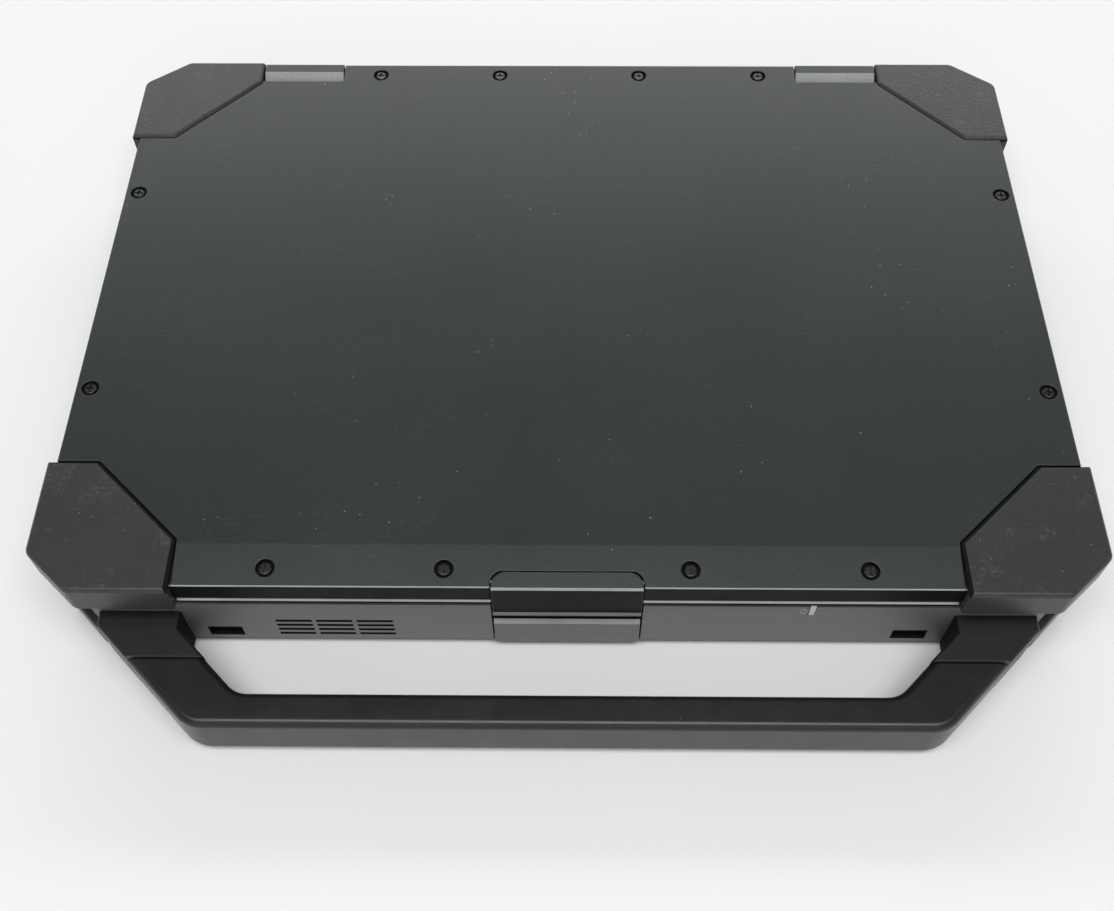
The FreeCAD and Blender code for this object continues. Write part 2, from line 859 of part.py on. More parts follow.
def leaf_room(side):
    """The slot that the leaf's post stands in."""
    x0 = side * (notch_inner_x + notch_play + leaf_margin - tower_play)
    x1 = side * (notch_outer_x - notch_play - leaf_margin + tower_play)
    return box(
        x0, x1, hinge_y - leaf_front - tower_play, hinge_y + leaf_rear + tower_play,
        deck_bottom, hinge_z + leaf_rise + tower_play)


def hinge_cover(side):
    """The cap over a hinge tower, with its sloped front face."""
    top = lid_top - tower_play
    profile = [
        (hinge_y - tower_front, deck_top), (hinge_y - tower_front, top - tower_slope),
        (hinge_y - tower_slope_top, top), (lid_rear, top), (lid_rear, deck_top)]
    inner = side * (notch_inner_x + notch_play)
    cap = slab(profile, inner, side * (notch_outer_x - notch_play))
    post = side * (notch_inner_x + notch_play + leaf_margin)
    pin_hole = cross_rod(inner, post, hinge_y, hinge_z, hinge_pin_radius + tower_play)
    return without(cap, [leaf_room(side), pin_hole])


# Base shells

def battery_box(side, grow=0.0):
    """The space of one battery, flush with the side of the base."""
    return box(
        side * (base_x - battery_length - grow), side * (base_x + grow),
        battery_front - grow, battery_front + battery_width + grow,
        floor_top + battery_play - grow, floor_top + battery_play + battery_height + grow)


def speaker_slots():
    """The three columns of slots in front of the speaker."""
    slots = []
    y0 = base_front - cut_past
    y1 = base_front + case_wall
    for column in range(speaker_slot_columns):
        x = speaker_slot_x + column * speaker_slot_pitch_x
        for row in range(speaker_slot_rows):
            z = speaker_slot_z + row * speaker_slot_pitch_z
            slots.append(box(x, x + speaker_slot_width, y0, y1, z, z + speaker_slot_height))
    return slots


def front_pockets():
    """The shallow pockets beside the handle's arms."""
    return [
        box(side * (arm_root_inner - pocket_arm_gap - pocket_width), side * (arm_root_inner - pocket_arm_gap),
            base_front - cut_past, base_front + pocket_depth, pocket_bottom, pocket_top)
        for side in (-1, 1)]


def strap_slots():
    """The slots for a strap in the two cut front corners."""
    slots = []
    middle_x = base_x - base_corner_leg / 2
    middle_y = base_front + base_corner_leg / 2
    for side in (-1, 1):
        slot = box(
            -strap_slot_length / 2, strap_slot_length / 2, -cut_past, strap_slot_depth,
            strap_slot_z, strap_slot_z + strap_slot_height)
        slot.rotate(V(0, 0, 0), V(0, 0, 1), side * 45.0)
        slot.translate(V(side * middle_x, middle_y, 0.0))
        slots.append(slot)
    return slots


def light_pipe_room(grow=0.0):
    """The notch for the status light's pipe, which turns over the deck's front edge."""
    x0 = light_pipe_x - light_pipe_width / 2 - grow
    x1 = light_pipe_x + light_pipe_width / 2 + grow
    profile = [
        (base_front - light_pipe_proud, light_pipe_bottom - grow),
        (base_front + light_pipe_depth + grow, light_pipe_bottom - grow),
        (base_front + light_pipe_depth + grow, deck_top - light_pipe_depth / 2 - grow),
        (base_front + light_pipe_top_length + grow, deck_top - light_pipe_depth / 2 - grow),
        (base_front + light_pipe_top_length + grow, deck_top),
        (base_front - light_pipe_proud, deck_top)]
    return slab(profile, x0, x1)


def side_door_room(side, grow=0.0):
    """The opening in the side wall that a port door closes."""
    half = side_door_length / 2 + grow
    return box(
        side * (base_x - case_wall), side * (base_x + cut_past), side_door_y - half, side_door_y + half,
        door_bottom - grow, door_bottom + door_height + grow)


def rear_door_room(side, grow=0.0):
    """The opening in the rear wall that a port door closes."""
    half = rear_door_length / 2 + grow
    return box(
        side * rear_door_x - half, side * rear_door_x + half, base_rear - case_wall, base_rear + cut_past,
        door_bottom - grow, door_bottom + door_height + grow)


def vent_slots():
    """The upright slots in the rear wall behind the cooling fins."""
    pitch = fin_block_width / vent_slot_count
    first = fan_x - fin_block_width / 2 + pitch / 2
    return [
        box(first + index * pitch - vent_slot_width / 2, first + index * pitch + vent_slot_width / 2,
            base_rear - case_wall, base_rear + cut_past, vent_slot_bottom, vent_slot_top)
        for index in range(vent_slot_count)]


def case_hull():
    """The closed outside of the tray."""
    return chamfered(prism(base_plan(), case_bottom, deck_bottom), bottom_chamfer, case_bottom)


def bottom_case():
    """The tray of the base: floor, walls, bosses and every opening in them."""
    cavity = prism(base_plan(case_wall), floor_top, deck_bottom)
    keep = [keeper_room(case_wall)]
    for x, y in base_screw_places:
        keep.append(upright_rod(x, y, floor_top, deck_bottom, base_screw_boss))
    half_boss = board_boss / 2
    for x, y in board_boss_places:
        keep.append(box(x - half_boss, x + half_boss, y - half_boss, y + half_boss, floor_top, board_bottom))
    cuts = [without(cavity, keep), keeper_room(), light_pipe_room(screw_play)]
    cuts += speaker_slots() + front_pockets() + strap_slots() + vent_slots()
    for side in (-1, 1):
        cuts.append(battery_box(side, battery_play))
        cuts.append(side_door_room(side, door_play))
        cuts.append(rear_door_room(side, door_play))
        for x in handle_screw_columns():
            hole = handle_screw_shank + screw_play
            cuts.append(depth_rod(side * x, base_front, base_front + case_wall, handle_screw_z, hole))
    head_room = base_screw_sunk + base_screw_head_height
    for x, y in base_screw_places:
        cuts.append(upright_rod(x, y, case_bottom, case_bottom + head_room, base_screw_head + screw_play))
        cuts.append(upright_rod(x, y, case_bottom, deck_bottom, base_screw_shank + screw_play))
    return without(case_hull(), cuts)


def base_bumper(side, end):
    """A rubber band round one lower corner of the base."""
    outer_x = base_x + base_pad_reach
    outer_y = -base_front + base_pad_reach if end < 0 else half_depth
    end_x = arm_root_outer + bumper_seam if end < 0 else half_width - base_pad_rear_run_x
    end_y = half_depth - (base_pad_front_run_y if end < 0 else base_pad_rear_run_y)
    corners = [
        (outer_x, end_y, 0.0), (outer_x, corner_sum - outer_x, bumper_rounding),
        (corner_sum - outer_y, outer_y, bumper_rounding), (end_x, outer_y, 0.0), (end_x, end_y, 0.0)]
    top = case_bottom + base_pad_height
    block = prism([(side * x, end * y, radius) for x, y, radius in corners], case_bottom, top)
    return chamfered(chamfered(block, base_pad_edge, top), base_pad_edge, case_bottom).cut(case_hull())


def key_places():
    """For every key row: its name and the (x0, x1, y0, y1) of each key."""
    rows = []
    back = keyboard_back
    for index, (name, widths) in enumerate(key_rows):
        pitch = function_row_pitch if index == 0 else key_pitch
        left = -keyboard_x
        keys = []
        for width in widths:
            right = left + width * key_pitch
            keys.append((
                left + key_spacing / 2, right - key_spacing / 2,
                back - pitch + key_spacing / 2, back - key_spacing / 2))
            left = right
        rows.append((name, keys))
        back -= pitch
    return rows


def stem_box(key, z0, z1, grow=0.0):
    """The square stem in the middle of a key."""
    x0, x1, y0, y1 = key
    x = (x0 + x1) / 2
    y = (y0 + y1) / 2
    half = key_stem / 2 + grow
    return box(x - half, x + half, y - half, y + half, z0, z1)


def key_row(keys):
    """One row of keys, each a cap with its stem."""
    caps = []
    for key in keys:
        cap = box(*key, key_bottom, key_top)
        caps.append(cap.fuse(stem_box(key, key_bottom - key_stem_length, key_bottom)))
    return Part.makeCompound(caps)


def keyboard_plate():
    """The plate under the keys, with a rim up to the deck and a hole for each stem."""
    x = keyboard_x + keyboard_margin
    y0 = keyboard_back - keyboard_length - keyboard_margin
    y1 = keyboard_back + keyboard_margin
    bottom = key_plate_top - key_plate_thickness
    tray = box(-x, x, y0, y1, bottom, deck_bottom)
    holes = [box(
        -keyboard_x, keyboard_x, keyboard_back - keyboard_length, keyboard_back, key_plate_top, deck_bottom)]
    for name, keys in key_places():
        for key in keys:
            holes.append(stem_box(key, bottom, key_plate_top, key_stem_play))
    return without(tray, holes)


def touchpad_box(height, play=0.0):
    """The touchpad on the floor of its recess, or with a play the recess itself."""
    floor = deck_top - touchpad_recess
    return box(
        touchpad_x - touchpad_width / 2 - play, touchpad_x + touchpad_width / 2 + play,
        touchpad_front - play, touchpad_front + touchpad_length + play, floor, floor + height)


def button_box(x0, x1, y0, y1, grow=0.0):
    """A push button, or with a grow its well, in the deck."""
    if grow > 0:
        return box(x0 - grow, x1 + grow, y0 - grow, y1 + grow, deck_top - button_well, deck_top + cut_past)
    top = deck_top + button_rise
    return box(x0, x1, y0, y1, top - button_thickness, top)


def touch_button(side, grow=0.0):
    """One of the two buttons in front of the touchpad."""
    rear = touchpad_front - touch_button_spacing
    outer = touchpad_x + side * touchpad_width / 2
    inner = touchpad_x + side * touch_button_spacing / 2
    return button_box(min(outer, inner), max(outer, inner), rear - touch_button_length, rear, grow)


def power_button(grow=0.0):
    """The power button behind the keyboard."""
    y = base_rear - power_button_inset
    return button_box(
        power_button_x - power_button_width / 2, power_button_x + power_button_width / 2,
        y - power_button_length / 2, y + power_button_length / 2, grow)


def top_deck():
    """The palm rest and keyboard surround, screwed down on the tray."""
    plate = chamfered(prism(base_plan(), deck_bottom, deck_top), edge_chamfer, deck_top)
    cuts = [keeper_room(), light_pipe_room(screw_play), power_button(button_play)]
    cuts.append(touchpad_box(touchpad_recess, touchpad_play))
    for side in (-1, 1):
        cuts.append(leaf_room(side))
        cuts.append(touch_button(side, button_play))
    for name, keys in key_places():
        for x0, x1, y0, y1 in keys:
            cuts.append(box(
                x0 - key_play, x1 + key_play, y0 - key_play, y1 + key_play, deck_bottom, deck_top + cut_past))
    screw_hole = base_screw_shank + screw_play
    for x, y in base_screw_places:
        cuts.append(upright_rod(x, y, deck_bottom, deck_bottom + base_screw_bite, screw_hole))
    return without(plate, cuts)


def base_screw(x, y):
    """One long screw from below, through the tray into the deck."""
    head_bottom = case_bottom + base_screw_sunk
    head_top = head_bottom + base_screw_head_height
    head = upright_rod(x, y, head_bottom, head_top, base_screw_head)
    shank = upright_rod(x, y, head_top, deck_bottom + base_screw_bite - screw_play, base_screw_shank)
    return joined([head, shank])


def rubber_feet():
    """Four long rubber feet."""
    feet = []
    for side in (-1, 1):
        for end in (-1, 1):
            x = side * (half_width - foot_side_inset - foot_length / 2)
            y = end * (half_depth - foot_end_inset)
            feet.append(box(
                x - foot_length / 2, x + foot_length / 2, y - foot_width / 2, y + foot_width / 2,
                0.0, foot_height))
    return Part.makeCompound(feet)


# Handle

def handle_screw_columns():
    """Distances across from the middle to the two screws of an arm."""
    return (arm_root_inner + handle_screw_margin, arm_root_outer - handle_screw_margin)


def arm_inner_sum():
    """The inner edge of an arm's slant: across plus forward distance, the same all along it."""
    return corner_sum - arm_width * math.sqrt(2)


def tongue(side, grow=0.0):
    """The tongue of an arm that plugs into the grip, along the arm's slant."""
    step = -base_front + arm_reach
    outer = corner_sum - tongue_margin * math.sqrt(2) + grow
    inner = arm_inner_sum() + tongue_margin * math.sqrt(2) - grow
    end = step + tongue_length + grow
    middle = (arm_bottom + arm_top) / 2
    corners = [(outer - step, -step), (inner - step, -step), (inner - end, -end), (outer - end, -end)]
    half = tongue_height / 2 + grow
    return prism([(side * x, y) for x, y in corners], middle - half, middle + half)


def handle_arm(side):
    """A bracket of the handle, bolted to the front of the base."""
    step = -base_front + arm_reach
    root = -base_front
    inner = arm_inner_sum()
    corners = [
        (arm_root_outer, -root), (arm_root_inner, -root), (arm_root_inner, arm_root_inner - inner),
        (inner - step, -step), (corner_sum - step, -step), (arm_root_outer, arm_root_outer - corner_sum)]
    block = prism([(side * x, y) for x, y in corners], arm_bottom, arm_top)
    rim = [
        edge for edge in block.Edges
        if edge.BoundBox.ZMin > arm_top - 1e-6 and edge.BoundBox.YLength > edge_chamfer]
    bracket = joined([block.makeChamfer(edge_chamfer, rim), tongue(side)])
    holes = [
        depth_rod(side * x, base_front - handle_screw_bite, base_front, handle_screw_z,
                  handle_screw_shank + screw_play)
        for x in handle_screw_columns()]
    return without(bracket, holes)


def handle_grip():
    """The carrying rail with its two slanted ends."""
    step = -base_front + arm_reach
    front = half_depth + handle_reach
    rear = front - grip_depth
    inner = arm_inner_sum()
    half = [
        (corner_sum - step, -step, 0.0), (corner_sum - front, -front, grip_outer_radius)]
    inside = [(inner - rear, -rear, grip_inner_radius), (inner - step, -step, 0.0)]
    right = half + [(-x, y, radius) for x, y, radius in reversed(half)]
    left = [(-x, y, radius) for x, y, radius in reversed(inside)] + inside
    rail = prism(right + left, grip_bottom, grip_top)
    rim = [
        edge for edge in rail.Edges
        if edge.BoundBox.ZLength < 1e-6 and edge.BoundBox.YMin < -step - 1e-3]
    return without(rail.makeFillet(grip_edge, rim), [tongue(-1, tower_play), tongue(1, tower_play)])


def handle_screws():
    """The screws that hold the arms, put in from inside the base."""
    screws = []
    wall = base_front + case_wall
    head_end = wall + handle_screw_head_height
    tip = base_front - handle_screw_bite + screw_play
    for side in (-1, 1):
        for x in handle_screw_columns():
            head = depth_rod(side * x, wall, head_end, handle_screw_z, handle_screw_head)
            shank = depth_rod(side * x, tip, wall, handle_screw_z, handle_screw_shank)
            screws.append(joined([head, shank]))
    return Part.makeCompound(screws)


# Port doors and sockets

def side_door(side):
    """A port door in the side wall, with the round edge that it turns on."""
    half = side_door_length / 2
    axis_x = side * (base_x - door_thickness / 2)
    axis_z = door_bottom + door_thickness / 2
    leaf = box(
        side * (base_x - door_thickness), side * base_x, side_door_y - half, side_door_y + half,
        axis_z, door_bottom + door_height)
    barrel = depth_rod(axis_x, side_door_y - half, side_door_y + half, axis_z, door_thickness / 2)
    return joined([leaf, barrel])


def rear_door(side):
    """A port door in the rear wall, with the round edge that it turns on."""
    half = rear_door_length / 2
    middle = side * rear_door_x
    axis_y = base_rear - door_thickness / 2
    axis_z = door_bottom + door_thickness / 2
    inside = base_rear - door_thickness
    leaf = box(middle - half, middle + half, inside, base_rear, axis_z, door_bottom + door_height)
    barrel = cross_rod(middle - half, middle + half, axis_y, axis_z, door_thickness / 2)
    return joined([leaf, barrel])


# Inside the base

def socket_shell(x0, x1, y0, y1, z1, wall, direction):
    """A metal socket on the board, open on the side that the direction (x, y) points to."""
    shell = box(x0, x1, y0, y1, board_top, z1)
    dx, dy = direction
    hollow = box(
        x0 + wall * (dx >= 0), x1 - wall * (dx <= 0), y0 + wall * (dy >= 0), y1 - wall * (dy <= 0),
        board_top + wall, z1 - wall)
    return shell.cut(hollow)


def motherboard():
    """The main board with its processor, memory and drive sockets."""
    board = box(-board_half_width, board_half_width, board_front_y, board_rear_y, board_bottom, board_top)
    fan_half = fan_size / 2 + fan_clearance
    fan_room = box(
        fan_x - fan_half, fan_x + fan_half, fan_y - fan_half, board_rear_y, board_bottom, board_top)
    half_processor = processor_size / 2
    processor = box(
        processor_x - half_processor, processor_x + half_processor,
        processor_y - half_processor, processor_y + half_processor, board_top, board_top + processor_height)
    memory_socket = box(
        memory_x - memory_length / 2, memory_x + memory_length / 2,
        memory_y - memory_width / 2, memory_y - memory_width / 4, board_top, board_top + socket_height)
    drive_socket = box(
        drive_x - drive_length / 2, drive_x - drive_length / 2 + drive_width / 3,
        drive_y - drive_width / 2, drive_y + drive_width / 2, board_top, board_top + socket_height)
    return joined([board.cut(fan_room), processor, memory_socket, drive_socket])


def memory_module():
    """The memory card on its socket."""
    z = board_top + socket_height
    return box(
        memory_x - memory_length / 2, memory_x + memory_length / 2,
        memory_y - memory_width / 2, memory_y + memory_width / 2, z, z + memory_thickness)


def solid_state_drive():
    """The drive card on its socket."""
    z = board_top + socket_height
    return box(
        drive_x - drive_length / 2, drive_x + drive_length / 2,
        drive_y - drive_width / 2, drive_y + drive_width / 2, z, z + drive_thickness)


def fan_housing():
    """The blower's box: open above for the inlet, open behind for the outlet, with a fixed shaft."""
    half = fan_size / 2
    top = floor_top + fan_height
    shell = box(fan_x - half, fan_x + half, fan_y - half, fan_y + half, floor_top, top)
    hollow = box(
        fan_x - half + fan_shell, fan_x + half - fan_shell, fan_y - half + fan_shell, fan_y + half,
        floor_top + fan_shell, top - fan_shell)
    inlet = upright_rod(fan_x, fan_y, floor_top + fan_shell, top, fan_blade_reach - fan_clearance)
    shaft = upright_rod(fan_x, fan_y, floor_top, fan_blade_top(), fan_shaft_radius)
    return joined([without(shell, [hollow, inlet]), shaft])


def fan_blade_top():
    """The top of the impeller's blades, under the housing's roof."""
    return floor_top + fan_shell + fan_clearance + fan_blade_height


def fan_impeller():
    """The turning hub and blades of the blower."""
    bottom = floor_top + fan_shell + fan_clearance
    hub = upright_rod(fan_x, fan_y, bottom, fan_blade_top(), fan_hub_radius)
    pieces = [hub]
    for index in range(fan_blade_count):
        blade = box(
            fan_x + fan_hub_radius - fan_clearance, fan_x + fan_blade_reach,
            fan_y - fan_blade_thickness / 2, fan_y + fan_blade_thickness / 2, bottom, fan_blade_top())
        blade.rotate(V(fan_x, fan_y, 0), V(0, 0, 1), index * 360.0 / fan_blade_count)
        pieces.append(blade)
    bore = upright_rod(fan_x, fan_y, bottom, fan_blade_top(), fan_shaft_radius + fan_shaft_play)
    return joined(pieces).cut(bore)


def heat_sink():
    """Cooling fins at the rear vent, with the flat heat pipe from the processor."""
    rear = base_rear - case_wall - fan_clearance
    front = rear - fin_length
    top = floor_top + fan_height
    pipe_bottom = board_top + processor_height
    pitch = (fin_block_width - fin_thickness) / (fin_count - 1)
    pieces = []
    for index in range(fin_count):
        x = fan_x - fin_block_width / 2 + index * pitch
        pieces.append(box(x, x + fin_thickness, front, rear, floor_top, top))
    pipe_top = pipe_bottom + heat_pipe_thickness
    left = fan_x - fin_block_width / 2
    turn = fan_x + fan_size / 2 + fan_clearance
    pipe_y = processor_y - heat_pipe_width / 2
    pieces.append(box(left, turn + heat_pipe_width, front, front + heat_pipe_width, pipe_bottom, pipe_top))
    pieces.append(box(turn, turn + heat_pipe_width, pipe_y, front + heat_pipe_width, pipe_bottom, pipe_top))
    pieces.append(box(
        turn, processor_x + processor_size / 2, pipe_y, pipe_y + heat_pipe_width, pipe_bottom, pipe_top))
    return joined(pieces)


def speaker():
    """The speaker box behind its slots."""
    width = (speaker_slot_columns - 1) * speaker_slot_pitch_x + speaker_slot_width
    x0 = speaker_slot_x - speaker_margin
    y0 = base_front + case_wall
    return box(
        x0, x0 + width + 2 * speaker_margin, y0, y0 + speaker_depth, floor_top, floor_top + speaker_height)


def port_connectors():
    """The sockets behind the port doors."""
    sockets = []
    side_end = base_x - case_wall
    rear_end = base_rear - case_wall
    for side in (-1, 1):
        for offset, width, height in side_sockets:
            y = side_door_y + offset
            x0 = min(side * side_end, side * (board_half_width - width))
            x1 = max(side * side_end, side * (board_half_width - width))
            sockets.append(socket_shell(
                x0, x1, y - width / 2, y + width / 2, board_top + height, socket_wall, (side, 0)))
        for offset, width, height in rear_sockets:
            x = side * (rear_door_x + offset)
            sockets.append(socket_shell(
                x - width / 2, x + width / 2, board_rear_y - width, rear_end, board_top + height,
                socket_wall, (0, 1)))
    return Part.makeCompound(sockets)


def build():
    """Makes every piece and writes it to its own file."""
    os.makedirs("parts", exist_ok=True)
    export("bottom_case", bottom_case())
    export("top_deck", top_deck())
    export("handle_grip", handle_grip())
    export("handle_screws", handle_screws())
    export("keyboard_plate", keyboard_plate())
    export("touchpad", touchpad_box(touchpad_thickness))
    export("power_button", power_button())
    export("motherboard", motherboard())
    export("heat_sink", heat_sink())
    export("fan_housing", fan_housing())
    export("fan_impeller", fan_impeller())
    export("solid_state_drive", solid_state_drive())
    export("memory_module", memory_module())
    export("speaker", speaker())
    export("status_light_pipe", light_pipe_room())
    export("rubber_feet", rubber_feet())
    export("base_screws", Part.makeCompound([base_screw(x, y) for x, y in base_screw_places]))
    export("port_connectors", port_connectors())
    export("latch_keeper", latch_keeper())
    for name, keys in key_places():
        export(name, key_row(keys))
    for side, label in ((-1, "left"), (1, "right")):
        export("base_bumper_front_" + label, base_bumper(side, -1))
        export("base_bumper_rear_" + label, base_bumper(side, 1))
        export("handle_arm_" + label, handle_arm(side))
        export("hinge_leaf_" + label, hinge_leaf(side))
        export("hinge_cover_" + label, hinge_cover(side))
        export("hinge_arm_" + label, hinge_arm(side))
        export("touchpad_button_" + label, touch_button(side))
        export("battery_" + label, battery_box(side))
        export("port_door_" + label, side_door(side))
        export("port_door_rear_" + label, rear_door(side))
        export("lid_bumper_front_" + label, lid_bumper(side, -1, front_pad))
        export("lid_bumper_rear_" + label, lid_bumper(side, 1, rear_pad))
    export("lid_cover", lid_cover())
    export("lid_bezel", lid_bezel())
    export("touch_glass", touch_glass())
    export("lcd_panel", lcd_panel())
    export("lid_screws", Part.makeCompound([lid_screw(x, y, skin) for x, y, skin in lid_screw_places()]))
    export("camera_module", camera_module())
    export("camera_shutter", camera_shutter())
    export("lid_stop_pads", lid_stop_pads())
    export("latch", latch())
    export("latch_pin", latch_pin())


build()
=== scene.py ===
# %% [markdown]
# A hardened laptop with a carrying handle, shown closed on a pale table. The solids come in as a
# fixed frame and are never moved here. Shells are copied and given soft edges, repeated pieces
# grow from node trees, and every surface gets a finish of shader nodes.

# %% Load the frame
import json
import math

import bmesh
import bpy
from mathutils import Matrix, Vector
from mathutils.geometry import delaunay_2d_cdt


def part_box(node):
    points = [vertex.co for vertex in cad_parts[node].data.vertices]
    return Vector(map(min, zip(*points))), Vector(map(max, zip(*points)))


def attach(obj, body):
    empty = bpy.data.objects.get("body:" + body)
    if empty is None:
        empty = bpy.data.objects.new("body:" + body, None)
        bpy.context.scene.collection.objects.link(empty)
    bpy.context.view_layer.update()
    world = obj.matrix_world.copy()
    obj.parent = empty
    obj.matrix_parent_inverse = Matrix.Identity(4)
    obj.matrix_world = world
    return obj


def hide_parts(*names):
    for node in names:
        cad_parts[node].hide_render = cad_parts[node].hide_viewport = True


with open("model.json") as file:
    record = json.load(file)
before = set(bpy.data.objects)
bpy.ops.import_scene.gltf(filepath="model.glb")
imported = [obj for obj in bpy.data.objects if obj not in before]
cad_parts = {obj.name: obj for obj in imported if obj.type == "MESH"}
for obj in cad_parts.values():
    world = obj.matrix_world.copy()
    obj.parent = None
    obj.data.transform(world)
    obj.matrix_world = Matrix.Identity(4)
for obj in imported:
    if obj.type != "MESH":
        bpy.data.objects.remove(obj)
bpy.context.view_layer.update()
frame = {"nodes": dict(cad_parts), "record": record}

mm = 0.001
scene = bpy.context.scene
nodes = frame["nodes"]
bodies = frame["record"]["behaviour"]["bodies"]
body_of = {node: body for body, members in bodies.items() for node in members}
slot_of = {part["node"]: part["material_slot"] for part in frame["record"]["subparts"]}
sides = {"left": -1, "right": 1}

# %% [markdown]
# The camera stands where the photographer stood: in front of the handle, high up, looking down
# steeply. It could be nudged by hand until the views agree; solving it from the photograph is
# more exact.

# %% Camera
image_width = 1114
focal_pixels = 1295.561
sensor_width = 36.0
camera_place = Vector((-0.177, -286.165, 408.388)) * mm
camera_pitch = math.radians(57.378)
camera_yaw = math.radians(-0.834)
camera_roll = math.radians(-0.444)


def camera_axes(pitch, yaw, roll):
    """Right, up and backward directions of a camera that looks down by pitch and is then rolled."""
    ahead = Vector((math.sin(yaw) * math.cos(pitch), math.cos(yaw) * math.cos(pitch), -math.sin(pitch)))
    level = Vector((math.cos(yaw), -math.sin(yaw), 0.0))
    above = level.cross(ahead)
    right = math.cos(roll) * level + math.sin(roll) * above
    up = math.cos(roll) * above - math.sin(roll) * level
    return right, up, -ahead


camera_data = bpy.data.cameras.new("photo_camera")
camera_data.sensor_width = sensor_width
camera_data.lens = focal_pixels / image_width * sensor_width
camera = bpy.data.objects.new("photo_camera", camera_data)
scene.collection.objects.link(camera)
turn = Matrix(camera_axes(camera_pitch, camera_yaw, camera_roll)).transposed().to_4x4()
camera.matrix_world = Matrix.Translation(camera_place) @ turn
scene.camera = camera
scene.view_settings.view_transform = "Standard"
print("camera: lens", round(camera_data.lens, 2), "mm")

# %% [markdown]
# A finish is a small net of nodes. It could be drawn by hand in the shader editor; here short
# helpers add nodes and fill their inputs, so that a net reads like a few sentences. Geometry
# trees use them too.

# %% Node helpers
plain = (1.0, 1.0, 1.0)
finishes = {}


def fill(tree, socket, value):
    """Sets a socket to a number or colour, or links it to another node's output."""
    if isinstance(value, bpy.types.NodeSocket):
        tree.links.new(value, socket)
    else:
        socket.default_value = value


def feed(tree, node, **inputs):
    """Fills a node's inputs; an input's name has _ for a space."""
    for name, value in inputs.items():
        fill(tree, node.inputs[name.replace("_", " ")], value)


def new_node(tree, kind, options, inputs):
    """Adds a node, sets its options and fills its inputs."""
    node = tree.nodes.new(kind)
    for name, value in (options or {}).items():
        setattr(node, name, value)
    feed(tree, node, **inputs)
    return node


def add(tree, kind, options=None, **inputs):
    """Adds a shader node, or one of the math nodes that all trees share."""
    return new_node(tree, "ShaderNode" + kind, options, inputs)


def compute(tree, operation, first, second, kind="Math"):
    """A math node on two values, or on two vectors with the kind VectorMath."""
    node = add(tree, kind, {"operation": operation})
    fill(tree, node.inputs[0], first)
    fill(tree, node.inputs[1], second)
    return node.outputs[0]


def times(tree, first, second):
    """The product of two values."""
    return compute(tree, "MULTIPLY", first, second)


def blend(tree, share, first, second):
    """First colour where share is 0, second where it is 1."""
    node = add(tree, "Mix", {"data_type": "RGBA"})
    fill(tree, node.inputs[0], share)
    fill(tree, node.inputs[6], first)
    fill(tree, node.inputs[7], second)
    return node.outputs[2]


def remap(tree, value, low, high, new_low=0.0, new_high=1.0):
    """Stretches low..high to new_low..new_high and stops there."""
    node = add(
        tree, "MapRange", Value=value, From_Min=low, From_Max=high, To_Min=new_low, To_Max=new_high)
    return node.outputs[0]


def noise(tree, place, scale, detail, roughness=0.5):
    """Cloudy values, most of them near a half."""
    cloud = add(tree, "TexNoise", Vector=place, Scale=scale, Detail=detail, Roughness=roughness)
    return cloud.outputs["Fac"]


def new_finish(name):
    """Starts a finish: its net, its shader and the object coordinates that patterns read."""
    material = bpy.data.materials.new(name)
    finishes[name] = material
    material.use_nodes = True
    tree = material.node_tree
    tree.nodes.clear()
    shader = add(tree, "BsdfPrincipled")
    output = add(tree, "OutputMaterial")
    tree.links.new(shader.outputs[0], output.inputs[0])
    return tree, shader, add(tree, "TexCoord").outputs["Object"]


def grey(level, tint=plain):
    """A colour from one level and a tint."""
    return (level * tint[0], level * tint[1], level * tint[2], 1.0)


print("a grey of level 0.5 is the colour", grey(0.5))

# %% [markdown]
# The stage is a round white table that curls up into a wall, so every view has the same pale
# ground. A plane and a backdrop would meet in a line; one profile spun round the middle has none.

# %% Stage
stage_radius = 2.6
stage_bend = 0.6
stage_height = 1.4
stage_middle = 0.5
stage_spokes = 96
bend_steps = 10
table_clouds = 7.0


def stage_profile():
    """Radius and height along the stage from its middle to its rim."""
    curl = []
    for step in range(bend_steps + 1):
        angle = math.radians(90 * step / bend_steps)
        radius = stage_radius - stage_bend + stage_bend * math.sin(angle)
        curl.append((radius, stage_bend * (1 - math.cos(angle))))
    return [(stage_middle, 0.0)] + curl + [(stage_radius, stage_height)]


def smooth_mesh(work, name):
    """A worked mesh as a plain one, shaded smooth."""
    mesh = bpy.data.meshes.new(name)
    work.to_mesh(mesh)
    work.free()
    mesh.polygons.foreach_set("use_smooth", [True] * len(mesh.polygons))
    return mesh


def place_piece(name, mesh, material=None):
    """Puts a mesh into the scene as an object of its own."""
    if material:
        mesh.materials.clear()
        mesh.materials.append(material)
    piece = bpy.data.objects.new(name, mesh)
    scene.collection.objects.link(piece)
    return piece


def stage_mesh():
    """The table and its wall as one spun sheet."""
    sheet = bmesh.new()
    centre = sheet.verts.new((0.0, 0.0, 0.0))
    angles = [2 * math.pi * spoke / stage_spokes for spoke in range(stage_spokes)]
    rings = []
    for radius, height in stage_profile():
        ring = [(radius * math.cos(angle), radius * math.sin(angle), height) for angle in angles]
        rings.append([sheet.verts.new(point) for point in ring])
    for spoke in range(stage_spokes):
        after = (spoke + 1) % stage_spokes
        sheet.faces.new((centre, rings[0][spoke], rings[0][after]))
        for inner, outer in zip(rings, rings[1:]):
            sheet.faces.new((inner[spoke], outer[spoke], outer[after], inner[after]))
    return smooth_mesh(sheet, "pale_table")


